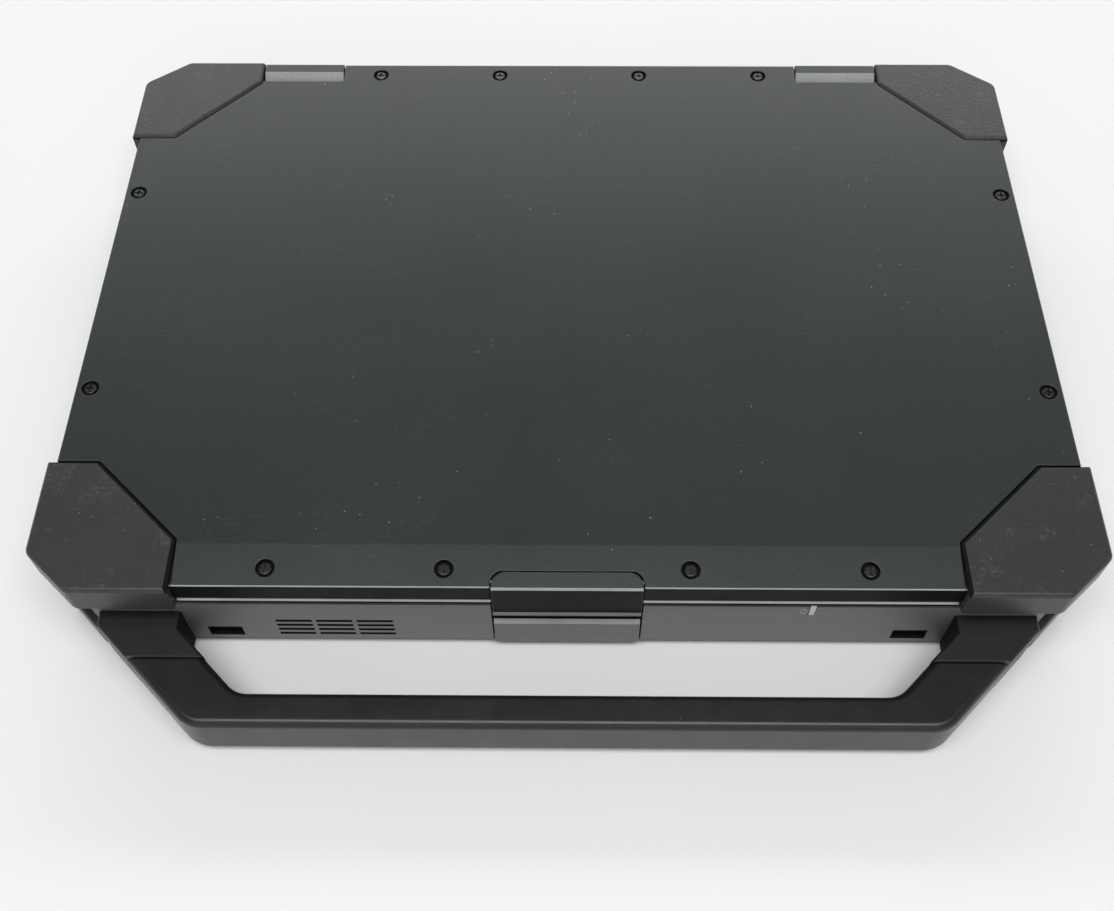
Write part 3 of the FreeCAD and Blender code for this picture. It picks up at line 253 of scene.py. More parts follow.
def table_white():
    """White laminate with the faintest cloudiness."""
    tree, shader, place = new_finish("table_white")
    cloud = noise(tree, place, table_clouds, detail=3.0)
    feed(tree, shader, Base_Color=blend(tree, cloud, grey(0.8), grey(0.83)), Roughness=0.6)


table_white()
table = place_piece("pale_table", stage_mesh(), finishes["table_white"])
print("stage:", len(table.data.polygons), "faces, radius", stage_radius, "m")

# %% [markdown]
# Three softboxes and a dim sky: a strong box high in front, a weak one lower and further forward,
# and one behind that brightens the far part of the lid. A studio picture could light it too, but
# area lights can be dimmed one by one.

# %% Lights
# Each row: place, width and height in metres, then power in watts.
softboxes = {
    "key_softbox": ((0.0, -0.5, 1.83), 1.8, 0.75, 27.5),
    "front_softbox": ((0.0, -1.75, 1.1), 2.6, 0.5, 5.5),
    "rear_softbox": ((0.0, 1.75, 1.04), 3.0, 0.45, 21.0),
}
light_target = Vector((0.0, 0.0, 0.0))
sky_colour = (0.97, 0.99, 1.0, 1.0)
sky_strength = 0.2
for name, (place, width, height, watts) in softboxes.items():
    data = bpy.data.lights.new(name, "AREA")
    data.shape = "RECTANGLE"
    data.size = width
    data.size_y = height
    data.energy = watts
    light = bpy.data.objects.new(name, data)
    light.location = place
    light.rotation_euler = (light_target - Vector(place)).to_track_quat("-Z", "Y").to_euler()
    light.visible_camera = False
    scene.collection.objects.link(light)
sky = bpy.data.worlds.new("dim_sky")
sky.use_nodes = True
background = sky.node_tree.nodes["Background"]
feed(sky.node_tree, background, Color=sky_colour, Strength=sky_strength)
scene.world = sky
print("lights:", list(softboxes), "and a sky of strength", sky_strength)

# %% [markdown]
# Real surfaces are never one colour. These patterns come from noise and cells at their real
# sizes: tone, grain, dust and hairlines. Painted pictures would need unwrapping; patterns that
# read object coordinates fit every shape.

# %% Pattern helpers
cloud_band = (0.3, 0.7)
streak_band = (0.74, 0.79)
scratched_band = (0.6, 0.66)
dust_colour = grey(0.32, (1.0, 1.0, 0.96))


def mottle(tree, place, size, low, high):
    """A soft cloudy drift between two colours."""
    cloud = noise(tree, place, 1 / size, detail=4.0, roughness=0.6)
    return blend(tree, remap(tree, cloud, *cloud_band), low, high)


def grain(tree, place, shader, size, depth, strength):
    """A fine pebbly bump."""
    pebble = noise(tree, place, 1 / size, detail=2.0, roughness=0.55)
    bump = add(tree, "Bump", Height=pebble, Strength=strength, Distance=depth)
    feed(tree, shader, Normal=bump.outputs[0])
    return pebble


def specks(tree, place, spacing, radius, share):
    """Mask of scattered dots: one chosen share of the cells holds a dot."""
    cells = add(tree, "TexVoronoi", Vector=place, Scale=1 / spacing)
    near = compute(tree, "LESS_THAN", cells.outputs["Distance"], radius / spacing)
    pick = add(tree, "SeparateColor", Color=cells.outputs["Color"]).outputs[0]
    return times(tree, near, compute(tree, "GREATER_THAN", pick, 1 - share))


def hairlines(tree, place, angle, length, width, patch):
    """Mask of long thin scratches in a few patches, all running one way."""
    stretch = (1 / length, 1 / width, 1.0)
    turned = add(tree, "Mapping", Vector=place, Rotation=(0.0, 0.0, angle), Scale=stretch)
    streak = remap(tree, noise(tree, turned.outputs[0], 1.0, detail=0.0), *streak_band)
    here = remap(tree, noise(tree, place, 1 / patch, detail=1.0), *scratched_band)
    return times(tree, streak, here)


def dusted(tree, tone, mask, strength):
    """A tone with pale dust over the masked places."""
    return blend(tree, times(tree, mask, strength), tone, dust_colour)


def vary_gloss(tree, shader, cloud, roughness, spread, band=cloud_band):
    """Lets the roughness wander by a spread to both sides."""
    wander = remap(tree, cloud, *band, roughness - spread, roughness + spread)
    feed(tree, shader, Roughness=wander)


print("dust colour:", [round(value, 3) for value in dust_colour])

# %% [markdown]
# The lid, the hinge covers' slopes and the tray are painted metal. Each could have its own net,
# but sprayed paint differs mostly in tone, so one recipe serves all: a slow drift, a grain whose
# crests carry a painted sheen, faint hairlines, and dust in patches.

# %% Sprayed paint
paint_drift = 60 * mm
# Size, depth and strength of the grain, then where its crests lie and how much a painted
# sheen lightens them.
paint_grain = (0.45 * mm, 0.06 * mm, 0.8)
crest_sheen_range = (0.35, 0.75, 0.0, 0.4)
crest_sheen_lightness = 2.4
# Angle in radians, length, width and patch size of each set of hairlines.
long_hairlines = (0.6, 9 * mm, 0.22 * mm, 26 * mm)
short_hairlines = (-1.0, 6 * mm, 0.2 * mm, 19 * mm)
hairline_strength = 0.12
# Spacing, radius and share of the cells that hold a speck.
patch_dust = (2.4 * mm, 0.24 * mm, 0.3)
stray_dust = (9 * mm, 0.3 * mm, 0.12)
speck_strength = 0.6
dust_patch = 34 * mm
dusty_band = (0.56, 0.62)
gloss_clouds = 22.0
lid_tint = (0.7, 1.08, 1.02)
hinge_tint = (0.96, 1.0, 1.06)
case_tint = (1.0, 1.01, 0.94)


def sprayed_paint(name, low, high, tint, roughness):
    """Fine textured paint with dust, hairlines and a painted sheen on the grain's crests."""
    tree, shader, place = new_finish(name)
    lighter = grey(high, tint)
    tone = mottle(tree, place, paint_drift, grey(low, tint), lighter)
    # The grain's crests are lightened: a painted sheen.
    crest_sheen = remap(tree, grain(tree, place, shader, *paint_grain), *crest_sheen_range)
    tone = blend(tree, crest_sheen, tone, grey(crest_sheen_lightness * lighter[1]))
    long_lines = hairlines(tree, place, *long_hairlines)
    short_lines = hairlines(tree, place, *short_hairlines)
    tone = dusted(tree, tone, compute(tree, "MAXIMUM", long_lines, short_lines), hairline_strength)
    dusty = remap(tree, noise(tree, place, 1 / dust_patch, detail=2.0), *dusty_band)
    clustered = times(tree, specks(tree, place, *patch_dust), dusty)
    dots = compute(tree, "MAXIMUM", clustered, specks(tree, place, *stray_dust))
    feed(tree, shader, Base_Color=dusted(tree, tone, dots, speck_strength))
    vary_gloss(tree, shader, noise(tree, place, gloss_clouds, detail=3.0), roughness, spread=0.02)


# Each row: darker level, lighter level, tint, roughness.
paints = {
    "lid_paint": (0.0145, 0.0165, lid_tint, 0.36),
    # The hinge covers' slopes are a light grey: partly their own grey paint, partly a painted highlight.
    "hinge_satin": (0.23, 0.265, hinge_tint, 0.3),
    "case_paint": (0.1, 0.116, case_tint, 0.34),
}
for name, recipe in paints.items():
    sprayed_paint(name, *recipe)
print("paints:", list(paints))

# %% [markdown]
# The bumpers are moulded rubber: matt, a little brown, rubbed pale in patches. Scuffs could be
# spread evenly; here one noise makes them and a slower one says where they lie, which looks more
# like wear.

# %% Rubber
rubber_tint = (1.03, 1.02, 0.95)
rubber_drift = 35 * mm
rubber_grain = (1.1 * mm, 0.18 * mm, 0.7)
scuff_size = 1.1 * mm
scuff_band = (0.52, 0.72)
scuff_patch = 13 * mm
scuffed_band = (0.56, 0.74)
scuff_strength = 0.3
scuff_gloss_band = (0.3, 0.8)
rubber_dust = (2.2 * mm, 0.26 * mm, 0.12)


def scuffed_rubber(name, low, high, tint, roughness):
    """Matt moulded rubber with worn pale scuffs."""
    tree, shader, place = new_finish(name)
    tone = mottle(tree, place, rubber_drift, grey(low, tint), grey(high, tint))
    grain(tree, place, shader, *rubber_grain)
    scuff = noise(tree, place, 1 / scuff_size, detail=5.0, roughness=0.75)
    patch = noise(tree, place, 1 / scuff_patch, detail=2.0)
    worn = times(tree, remap(tree, scuff, *scuff_band), remap(tree, patch, *scuffed_band))
    worn = compute(tree, "MAXIMUM", worn, specks(tree, place, *rubber_dust))
    feed(tree, shader, Base_Color=dusted(tree, tone, worn, scuff_strength))
    vary_gloss(tree, shader, scuff, roughness, spread=0.08, band=scuff_gloss_band)


scuffed_rubber("bumper_rubber", low=0.02, high=0.027, tint=rubber_tint, roughness=0.42)
print("finishes:", sorted(finishes))

# %% [markdown]
# Moulded plastics share one recipe: a leathery grain from small cells, a slight drift of tone and
# specks of dust. Each could be a material made by hand; a table is shorter and keeps every
# colour, gloss and grain in sight.

# %% Plastics
cool = (0.85, 1.0, 1.12)
warm = (1.03, 1.0, 0.93)
plastic_drift = 25 * mm
plastic_dust = (6 * mm, 0.2 * mm, 0.12)
dust_strength = 0.35
gloss_patch = 8 * mm


def moulded_plastic(name, low, high, tint, roughness, grain_size, grain_depth, shine=0.5):
    """Grained plastic, satin or matt."""
    tree, shader, place = new_finish(name)
    tone = mottle(tree, place, plastic_drift, grey(low, tint), grey(high, tint))
    fineness = 1 / (grain_size * mm)
    cells = add(tree, "TexVoronoi", {"feature": "SMOOTH_F1"}, Vector=place, Scale=fineness)
    height = cells.outputs["Distance"]
    bump = add(tree, "Bump", Height=height, Strength=0.4, Distance=grain_depth * mm)
    tone = dusted(tree, tone, specks(tree, place, *plastic_dust), dust_strength)
    feed(tree, shader, Base_Color=tone, Normal=bump.outputs[0], Specular_IOR_Level=shine)
    vary_gloss(tree, shader, noise(tree, place, 1 / gloss_patch, detail=4.0), roughness, spread=0.03)


# Each row: darker level, lighter level, tint, roughness, size and depth of the grain in
# millimetres and, for some, shine.
plastics = {
    "handle_bracket": (0.007, 0.010, cool, 0.42, 0.9, 0.06),
    "handle_grip": (0.006, 0.010, warm, 0.34, 0.7, 0.03),
    "deck_plastic": (0.03, 0.037, plain, 0.5, 0.5, 0.03),
    "key_plastic": (0.014, 0.018, plain, 0.38, 0.35, 0.015),
    "door_plastic": (0.024, 0.03, case_tint, 0.52, 0.5, 0.03),
    "latch_plastic": (0.003, 0.005, cool, 0.26, 0.9, 0.01),
    "keeper_plastic": (0.1, 0.12, plain, 0.28, 0.9, 0.01),
    # The next row is black painted where shade falls: in gaps, seams, slots and the sunk screw rings.
    "recess_black": (0.002, 0.004, plain, 0.7, 0.7, 0.08, 0.15),
    # The next two rows are light greys for edges and slopes: painted highlights.
    "worn_edge": (0.26, 0.34, hinge_tint, 0.25, 1.5, 0.02),
    "satin_lip": (0.1, 0.13, hinge_tint, 0.25, 1.5, 0.02),
    # The next row is nearly black and dull: painted shade on upright faces of the lid and latch.
    "lid_edge": (0.004, 0.007, plain, 0.45, 0.9, 0.04, 0.12),
    "inner_plastic": (0.02, 0.026, plain, 0.45, 0.5, 0.02),
    "display_panel": (0.006, 0.008, plain, 0.25, 0.3, 0.002),
    "light_pipe": (0.55, 0.62, plain, 0.25, 0.8, 0.004),
    "printed_mark": (0.32, 0.38, plain, 0.5, 0.4, 0.004),
    "key_legend": (0.5, 0.56, plain, 0.45, 0.4, 0.004),
}
for name, recipe in plastics.items():
    moulded_plastic(name, *recipe)
print("finishes:", len(finishes))

# %% [markdown]
# Metal has fine lines: noise stretched one way drives its tone and gloss, which is lighter work
# than true grooves. The glass is black, with finger marks in its gloss. The board's lanes could
# be drawn; a brick pattern is enough inside the case.

# %% Metal, glass and board
brushed = (1 / (30 * mm), 1 / (0.3 * mm), 1 / (0.3 * mm))
rolled = (1 / (4 * mm), 1 / (1 * mm), 1 / (1 * mm))
line_darkness = 0.85
finger_mark = 30 * mm
finger_gloss = (0.45, 0.7, 0.07, 0.11)
lane_size = 6 * mm
board_green = (0.006, 0.05, 0.022, 1.0)
board_light_green = (0.008, 0.06, 0.028, 1.0)
board_lane = (0.02, 0.11, 0.05, 1.0)


def worked_metal(name, level, roughness, stretch):
    """Metal with fine lines along X, as from rolling or brushing."""
    tree, shader, place = new_finish(name)
    along = add(tree, "Mapping", Vector=place, Scale=stretch)
    lines = noise(tree, along.outputs[0], 1.0, detail=3.0)
    tone = blend(tree, lines, grey(line_darkness * level), grey(level))
    feed(tree, shader, Base_Color=tone, Metallic=1.0)
    vary_gloss(tree, shader, lines, roughness, spread=0.08)


def touch_glass_finish():
    """Dark glass with finger marks."""
    tree, shader, place = new_finish("screen_glass")
    marks = noise(tree, place, 1 / finger_mark, detail=2.0)
    tone = blend(tree, marks, grey(0.004), grey(0.007))
    feed(tree, shader, Base_Color=tone, Roughness=remap(tree, marks, *finger_gloss), IOR=1.5)


def circuit_board_finish():
    """Green lacquer over faint copper lanes."""
    tree, shader, place = new_finish("circuit_board")
    lanes = add(
        tree, "TexBrick", Vector=place, Scale=1 / lane_size, Mortar_Size=0.03, Color1=board_green,
        Color2=board_light_green, Mortar=board_lane)
    feed(tree, shader, Base_Color=lanes.outputs["Color"], Roughness=0.3)


worked_metal("hinge_steel", level=0.16, roughness=0.36, stretch=brushed)
worked_metal("light_alloy", level=0.6, roughness=0.42, stretch=rolled)
worked_metal("screw_black", level=0.11, roughness=0.3, stretch=rolled)
touch_glass_finish()
circuit_board_finish()
for node, slot in slot_of.items():
    nodes[node].data.materials.clear()
    nodes[node].data.materials.append(finishes[slot])
nodes["latch_pin"].data.materials[0] = finishes["screw_black"]
print("finishes:", len(finishes), "- every node has its slot's finish, and the latch pin is blackened")

# %% [markdown]
# The solids come as loose triangles with hard edges, and a hard edge catches no light. Edges
# could be rounded in the shader, but real rounding shows in the outline too. First a shell is
# welded, and triangles in one plane become one face.

# %% Welded copies
weld_gap = 0.002 * mm
flat_angle = math.radians(0.4)


def welded(node):
    """A node's triangles as one connected mesh with its flat faces merged."""
    work = bmesh.new()
    work.from_mesh(nodes[node].data)
    bmesh.ops.remove_doubles(work, verts=work.verts, dist=weld_gap)
    bmesh.ops.dissolve_limit(work, angle_limit=flat_angle, verts=work.verts, edges=work.edges)
    return work


def final_mesh(thing):
    """A plain mesh of an object's final shape."""
    bpy.context.view_layer.update()
    shape = thing.evaluated_get(bpy.context.evaluated_depsgraph_get())
    return bpy.data.meshes.new_from_object(shape)


def settle(piece):
    """Turns an object's modified shape into its plain mesh and removes the modifiers."""
    mesh = final_mesh(piece)
    piece.modifiers.clear()
    piece.data = mesh
    return piece


print("the latch welds to", len(welded("latch").faces), "faces")

# %% [markdown]
# Rounding leaves faces with many corners, and Blender may fill those badly. A Triangulate
# modifier could split them; here a Delaunay fill does it, which copes with long thin outlines.
# Then gaps are closed and all faces turned outward.

# %% Clean faces
fill_tolerance = 0.0001 * mm
close_gap = 0.0005 * mm
most_corners = 4


def ring_of(face):
    """A face's corners in order, from the start of its longest edge."""
    loops = list(face.loops)
    lengths = [loop.edge.calc_length() for loop in loops]
    start = lengths.index(max(lengths))
    return [loop.vert for loop in loops[start:] + loops[:start]]


def fill_face(work, face):
    """Puts clean triangles in the place of one face."""
    turn = face.normal.rotation_difference(Vector((0.0, 0.0, 1.0)))
    ring = ring_of(face)
    flat = [turn @ vert.co for vert in ring]
    level = sum(point.z for point in flat) / len(flat)
    corners, _, triangles, sources, _, _ = delaunay_2d_cdt(
        [point.xy for point in flat], [], [range(len(flat))], 1, fill_tolerance)
    verts = []
    for corner, source in zip(corners, sources):
        if source:
            verts.append(ring[source[0]])
        else:
            verts.append(work.verts.new(turn.inverted() @ corner.to_3d() + face.normal * level))
    for triangle in triangles:
        trio = [verts[index] for index in triangle]
        if len(set(trio)) == 3 and not work.faces.get(trio):
            work.faces.new(trio, face)
    work.faces.remove(face)


def refill(mesh):
    """Fills many-sided faces with clean triangles, all pointing out of the solid."""
    work = bmesh.new()
    work.from_mesh(mesh)
    for face in [face for face in work.faces if len(face.verts) > most_corners]:
        fill_face(work, face)
    bmesh.ops.remove_doubles(work, verts=work.verts, dist=close_gap)
    bmesh.ops.holes_fill(work, edges=[edge for edge in work.edges if edge.is_boundary], sides=0)
    bmesh.ops.recalc_face_normals(work, faces=work.faces)
    work.to_mesh(mesh)
    work.free()


print("faces with more than", most_corners, "corners will be filled anew")

# %% [markdown]
# A Bevel modifier rounds the edges that carry a weight: sharp ones, and shallow ones between two
# large faces. A limit by angle alone would round small curved faces too. Weighted normals keep
# flat faces flat. The copy then stands for its solid.

# %% Soft-edged shells
sharp_angle = math.radians(25)
shallow_angle = math.radians(5)
large_face = 500 * mm * mm
bevel_segments = 3


def mark_edges(work):
    """Gives a weight to the edges that are to be rounded."""
    weight = work.edges.layers.float.new("bevel_weight_edge")
    for edge in work.edges:
        angle = edge.calc_face_angle(0.0)
        wide = min(face.calc_area() for face in edge.link_faces) > large_face
        if angle > sharp_angle or (wide and angle > shallow_angle):
            edge[weight] = 1.0


def soften(node, edge):
    """A rounded copy of a shell, riding where the shell rides and standing for it."""
    work = welded(node)
    mark_edges(work)
    mesh = smooth_mesh(work, node + "_finished")
    piece = place_piece(node + "_finished", mesh, finishes[slot_of[node]])
    bevel = piece.modifiers.new("soft_edges", "BEVEL")
    bevel.width = edge
    bevel.segments = bevel_segments
    bevel.limit_method = "WEIGHT"
    bevel.use_clamp_overlap = False
    bevel.loop_slide = False
    bevel.face_strength_mode = "FSTR_ALL"
    settle(piece)
    refill(piece.data)
    even = piece.modifiers.new("flat_faces_stay_flat", "WEIGHTED_NORMAL")
    even.mode = "FACE_AREA"
    even.use_face_influence = True
    settle(piece)
    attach(piece, body_of[node])
    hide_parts(node)
    return piece


# Width of the rounding in millimetres.
edge_of = {
    "lid_cover": 0.34, "lid_bezel": 0.1, "bottom_case": 0.16, "top_deck": 0.2, "latch": 0.16,
    "latch_keeper": 0.25, "handle_grip": 0.3, "touchpad": 0.15, "power_button": 0.2,
    "rubber_feet": 0.5, "camera_shutter": 0.1, "lid_stop_pads": 0.25, "status_light_pipe": 0.12,
}
for side in sides:
    edge_of.update({
        "handle_arm_" + side: 0.22, "hinge_cover_" + side: 0.2, "touchpad_button_" + side: 0.2,
        "port_door_" + side: 0.3, "port_door_rear_" + side: 0.3, "battery_" + side: 0.4})
    for end in ("front", "rear"):
        edge_of[f"lid_bumper_{end}_{side}"] = 0.4
        edge_of[f"base_bumper_{end}_{side}"] = 0.14
shells = {node: soften(node, edge * mm) for node, edge in edge_of.items()}
print("shells:", len(shells), "with", sum(len(piece.data.polygons) for piece in shells.values()), "faces")

# %% [markdown]
# Some faces have a finish of their own: the latch carries the lid's paint where it lies flush,
# upright faces of the lid and latch are painted nearly black as shade, and front edges and slopes
# carry painted highlights. Faces could be picked by hand; a rule still holds if the shape changes.

# %% Lid and latch faces
faces_up = 0.9
faces_front = -0.95
faces_rear = 0.5
upright = 0.3
rounded_slope = 0.985
lid_edge_lean = 0.2
latch_top_depth = 2 * mm
latch_edge_depth = 4 * mm
lid_edge_depth = 1 * mm


def paint_faces(node, finish, chosen):
    """Gives the chosen faces of a shell another finish."""
    mesh = shells[node].data
    mesh.materials.append(finishes[finish])
    picked = [face for face in mesh.polygons if chosen(face.center, face.normal)]
    for face in picked:
        face.material_index = len(mesh.materials) - 1
    print(node, "faces with", finish + ":", len(picked))


def slopes_forward(way, most=0.9, least=0.3):
    """Whether a direction leans forward and up, within the limits."""
    return way.y < -least and least < way.z < most


latch_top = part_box("latch")[1].z
lid_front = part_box("lid_cover")[0].y
# The latch: the lid's paint where it lies flush, a nearly black front as painted shade, and a light lip
# and top edge as painted highlights.
paint_faces(
    "latch", "lid_paint", lambda place, way: way.z > faces_up and place.z > latch_top - latch_top_depth)
paint_faces("latch", "lid_edge", lambda place, way: way.y < faces_front)
paint_faces("latch", "satin_lip", lambda place, way: slopes_forward(way))
paint_faces(
    "latch", "worn_edge",
    lambda place, way: slopes_forward(way, rounded_slope) and place.z > latch_top - latch_edge_depth)
# The keeper's top is painted black as the shade of the gap under the latch, and its slopes are painted
# light grey as a highlight.
paint_faces("latch_keeper", "recess_black", lambda place, way: way.z > faces_up)
paint_faces("latch_keeper", "worn_edge", lambda place, way: slopes_forward(way))
# The lid's upright faces are painted nearly black as shade, and its front edge carries a painted
# highlight.
paint_faces("lid_cover", "lid_edge", lambda place, way: abs(way.z) < upright and way.y < faces_rear)
paint_faces(
    "lid_cover", "worn_edge",
    lambda place, way: place.y < lid_front + lid_edge_depth
    and slopes_forward(way, rounded_slope, lid_edge_lean))
# The bezel's upright faces are painted black as the shade of the gap below the lid.
paint_faces("lid_bezel", "recess_black", lambda place, way: abs(way.z) < upright)
paint_faces("top_deck", "case_paint", lambda place, way: way.y < faces_front)
# The bezel's forward slopes carry a painted highlight.
paint_faces("lid_bezel", "worn_edge", lambda place, way: slopes_forward(way))

# %% [markdown]
# Rules also paint shade black into the seams round the bumpers, onto the inner faces of the
# handle's arms and the ends of the hinge covers, and into the slots in the tray's front. Dark strips
# would do too, but paint adds nothing to the shape. The hinge covers get paint on top and a light
# grey on their slopes that is partly a painted highlight.

# %% Seams, hinges and slots
arm_lean = 0.6
hinge_end_lean = 0.5
hinge_slope = 0.98
seam_lean = 0.2
seam_depth = 1.2 * mm
seam_slope = {"front": 0.97, "rear": 0.5}
slot_depths = (0.05 * mm, 4 * mm)
slot_heights = (5 * mm, 26 * mm)
slot_reach = 135 * mm
lid_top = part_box("lid_cover")[1].z
front_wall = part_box("bottom_case")[0].y


def in_front_slot(place, way):
    """Whether a face of the tray lies inside a slot or pocket of its front."""
    sunk = slot_depths[0] < place.y - front_wall < slot_depths[1]
    return sunk and slot_heights[0] < place.z < slot_heights[1] and abs(place.x) < slot_reach


for side, outward in sides.items():
    inward = -outward
    # The inner faces of the arms are painted black as shade.
    paint_faces("handle_arm_" + side, "recess_black", lambda place, way: way.x * inward > arm_lean)
    # The bumpers' seams with the lid are painted black as shade.
    for end, backward in (("front", 1), ("rear", -1)):
        paint_faces(
            f"lid_bumper_{end}_{side}", "recess_black",
            lambda place, way: max(way.x * inward, way.y * backward) > seam_lean
            and way.z < seam_slope[end] and place.z > lid_top - seam_depth)
    # The ends of the hinge covers are painted black as shade.
    paint_faces("hinge_cover_" + side, "recess_black", lambda place, way: abs(way.x) > hinge_end_lean)
    paint_faces("hinge_cover_" + side, "lid_paint", lambda place, way: way.z > faces_up)
    # Their slopes take the light grey that is partly a painted highlight.
    paint_faces(
        "hinge_cover_" + side, "hinge_satin", lambda place, way: slopes_forward(way, hinge_slope))
# Faces inside the slots and pockets of the tray's front are painted black as shade.
paint_faces("bottom_case", "recess_black", in_front_slot)

# %% [markdown]
# Things that repeat grow from geometry nodes. A loop could copy them, but a tree has named inputs
# for its sizes. It is run on a seed mesh, and what it made is kept as a plain mesh. These helpers
# build, end and run a tree.

# %% Geometry node helpers
profile_sides = 10


def new_tree(name, **inputs):
    """An empty tree: geometry in, geometry out, and the named inputs with their kinds."""
    tree = bpy.data.node_groups.new(name, "GeometryNodeTree")
    for label, kind in {"Geometry": "Geometry", **inputs}.items():
        tree.interface.new_socket(
            label.replace("_", " "), in_out="INPUT", socket_type="NodeSocket" + kind)
    tree.interface.new_socket("Geometry", in_out="OUTPUT", socket_type="NodeSocketGeometry")
    return tree, tree.nodes.new("NodeGroupInput").outputs, tree.nodes.new("NodeGroupOutput").inputs


def grow(tree, kind, options=None, **inputs):
    """Adds a geometry node and gives its outputs."""
    return new_node(tree, "GeometryNode" + kind, options, inputs).outputs


def join(tree, *meshes):
    """Several meshes as one."""
    node = tree.nodes.new("GeometryNodeJoinGeometry")
    for mesh in meshes:
        tree.links.new(mesh, node.inputs[0])
    return node.outputs[0]


def round_profile(tree, radius):
    """A small circle to sweep along a line."""
    return grow(tree, "CurvePrimitiveCircle", Resolution=profile_sides, Radius=radius)[0]


def hand_over(tree, geometry, given, result):
    """Ends a tree: copies become plain faces, and all faces take the given finish."""
    faces = grow(tree, "RealizeInstances", Geometry=geometry)[0]
    painted = grow(tree, "SetMaterial", Geometry=faces, Material=given["Finish"])[0]
    tree.links.new(painted, result["Geometry"])
    return tree


def run_tree(name, tree, seed, **sizes):
    """Runs a tree on a seed mesh and keeps the result as a plain mesh."""
    piece = place_piece(name, seed)
    modifier = piece.modifiers.new(tree.name, "NODES")
    modifier.node_group = tree
    for item in tree.interface.items_tree:
        label = item.name.replace(" ", "_")
        if item.in_out == "INPUT" and label in sizes:
            modifier[item.identifier] = sizes[label]
    return settle(piece)


def points_mesh(name, places):
    """A mesh of loose points."""
    mesh = bpy.data.meshes.new(name)
    mesh.from_pydata(places, [], [])
    return mesh


def solid_boxes(node):
    """Low and high corner of every separate solid in a node, from left to right, then front to rear."""
    work = welded(node)
    waiting = set(work.verts)
    boxes = []
    while waiting:
        reached = [waiting.pop()]
        for vertex in reached:
            near = {edge.other_vert(vertex) for edge in vertex.link_edges} & waiting
            waiting -= near
            reached.extend(near)
        spans = [[vertex.co[axis] for vertex in reached] for axis in range(3)]
        boxes.append((Vector(map(min, spans)), Vector(map(max, spans))))
    work.free()
    return sorted(boxes, key=lambda box: (box[0].x, box[0].y))


print("separate solids in the lid's screws:", len(solid_boxes("lid_screws")))

# %% [markdown]
# A keycap starts as a rounded tile. Tiles could be cut from one plane; here each is drawn from
# its solid's box, and its points store the tile's middle and size, so that one tree can draw
# narrow and wide keys in by the same distance.

# %% Key tiles
key_corner = 1.3 * mm
key_corner_steps = 5
corner_ways = ((1, 1), (-1, 1), (-1, -1), (1, -1))
unlimited = 1.0e6
key_row_names = ("function", "number", "upper", "home", "lower", "space")
key_rows = [name + "_key_row" for name in key_row_names]


def tile_mesh(name, boxes, height):
    """Rounded tiles at one height; each point knows its tile's middle and size."""
    points, faces, middles, spans = [], [], [], []
    for low, high in boxes:
        middle = (low + high) / 2
        half = (high - low) / 2
        start = len(points)
        for corner, (way_x, way_y) in enumerate(corner_ways):
            for step in range(key_corner_steps + 1):
                angle = math.pi / 2 * (corner + step / key_corner_steps)
                x = middle.x + way_x * (half.x - key_corner) + key_corner * math.cos(angle)
                y = middle.y + way_y * (half.y - key_corner) + key_corner * math.sin(angle)
                points.append((x, y, height))
                middles.extend((middle.x, middle.y, height))
                spans.extend((2 * half.x, 2 * half.y, unlimited))
        faces.append(range(start, len(points)))
    mesh = bpy.data.meshes.new(name)
    mesh.from_pydata(points, [], faces)
    for label, values in (("tile_middle", middles), ("tile_size", spans)):
        mesh.attributes.new(label, "FLOAT_VECTOR", "POINT").data.foreach_set("vector", values)
    return mesh


key_boxes = {row: solid_boxes(row) for row in key_rows}
print("keys in each row:", [len(boxes) for boxes in key_boxes.values()])

# %% [markdown]
# The tree pushes a tile up in steps: a wall that leans in, a rounded rim, then a shallow dish for
# the finger. Sculpting each cap would take far longer. Every step draws the top in toward its
# tile's middle. Short stems hold the caps up.

# %% Keycaps
cap_height = 3.0 * mm
wall_lean = 0.35 * mm
key_rim = 0.45 * mm
dish_depth = 0.3 * mm
dish_margin = 0.8 * mm
stem_width = 4.0 * mm
merge_gap = 0.001 * mm
# How much of the rim each step rises and draws in, and how much of the dish each step sinks.
rim_shares = ((0.7, 0.3), (0.3, 0.7))
dish_shares = (-0.35, -0.65)


def stored(tree, name):
    """A vector that the seed mesh's points carry."""
    return grow(
        tree, "InputNamedAttribute", {"data_type": "FLOAT_VECTOR"}, Name=name)["Attribute"]


def push_step(tree, mesh, chosen, rise, inset):
    """Pushes the chosen faces up by rise and draws them in by inset on every side."""
    raised = grow(
        tree, "ExtrudeMesh", {"mode": "FACES"}, Mesh=mesh, Selection=chosen, Offset_Scale=rise,
        Individual=True)
    position = grow(tree, "InputPosition")[0]
    away = compute(tree, "SUBTRACT", position, stored(tree, "tile_middle"), "VectorMath")
    share = compute(tree, "DIVIDE", away, stored(tree, "tile_size"), "VectorMath")
    # A share runs from minus a half to a half, so the inset counts twice.
    back = add(
        tree, "VectorMath", {"operation": "SCALE"}, Vector=share,
        Scale=times(tree, inset, -2.0)).outputs[0]
    drawn = grow(
        tree, "SetPosition", Geometry=raised["Mesh"], Selection=raised["Top"], Offset=back)
    return drawn[0], raised["Top"]


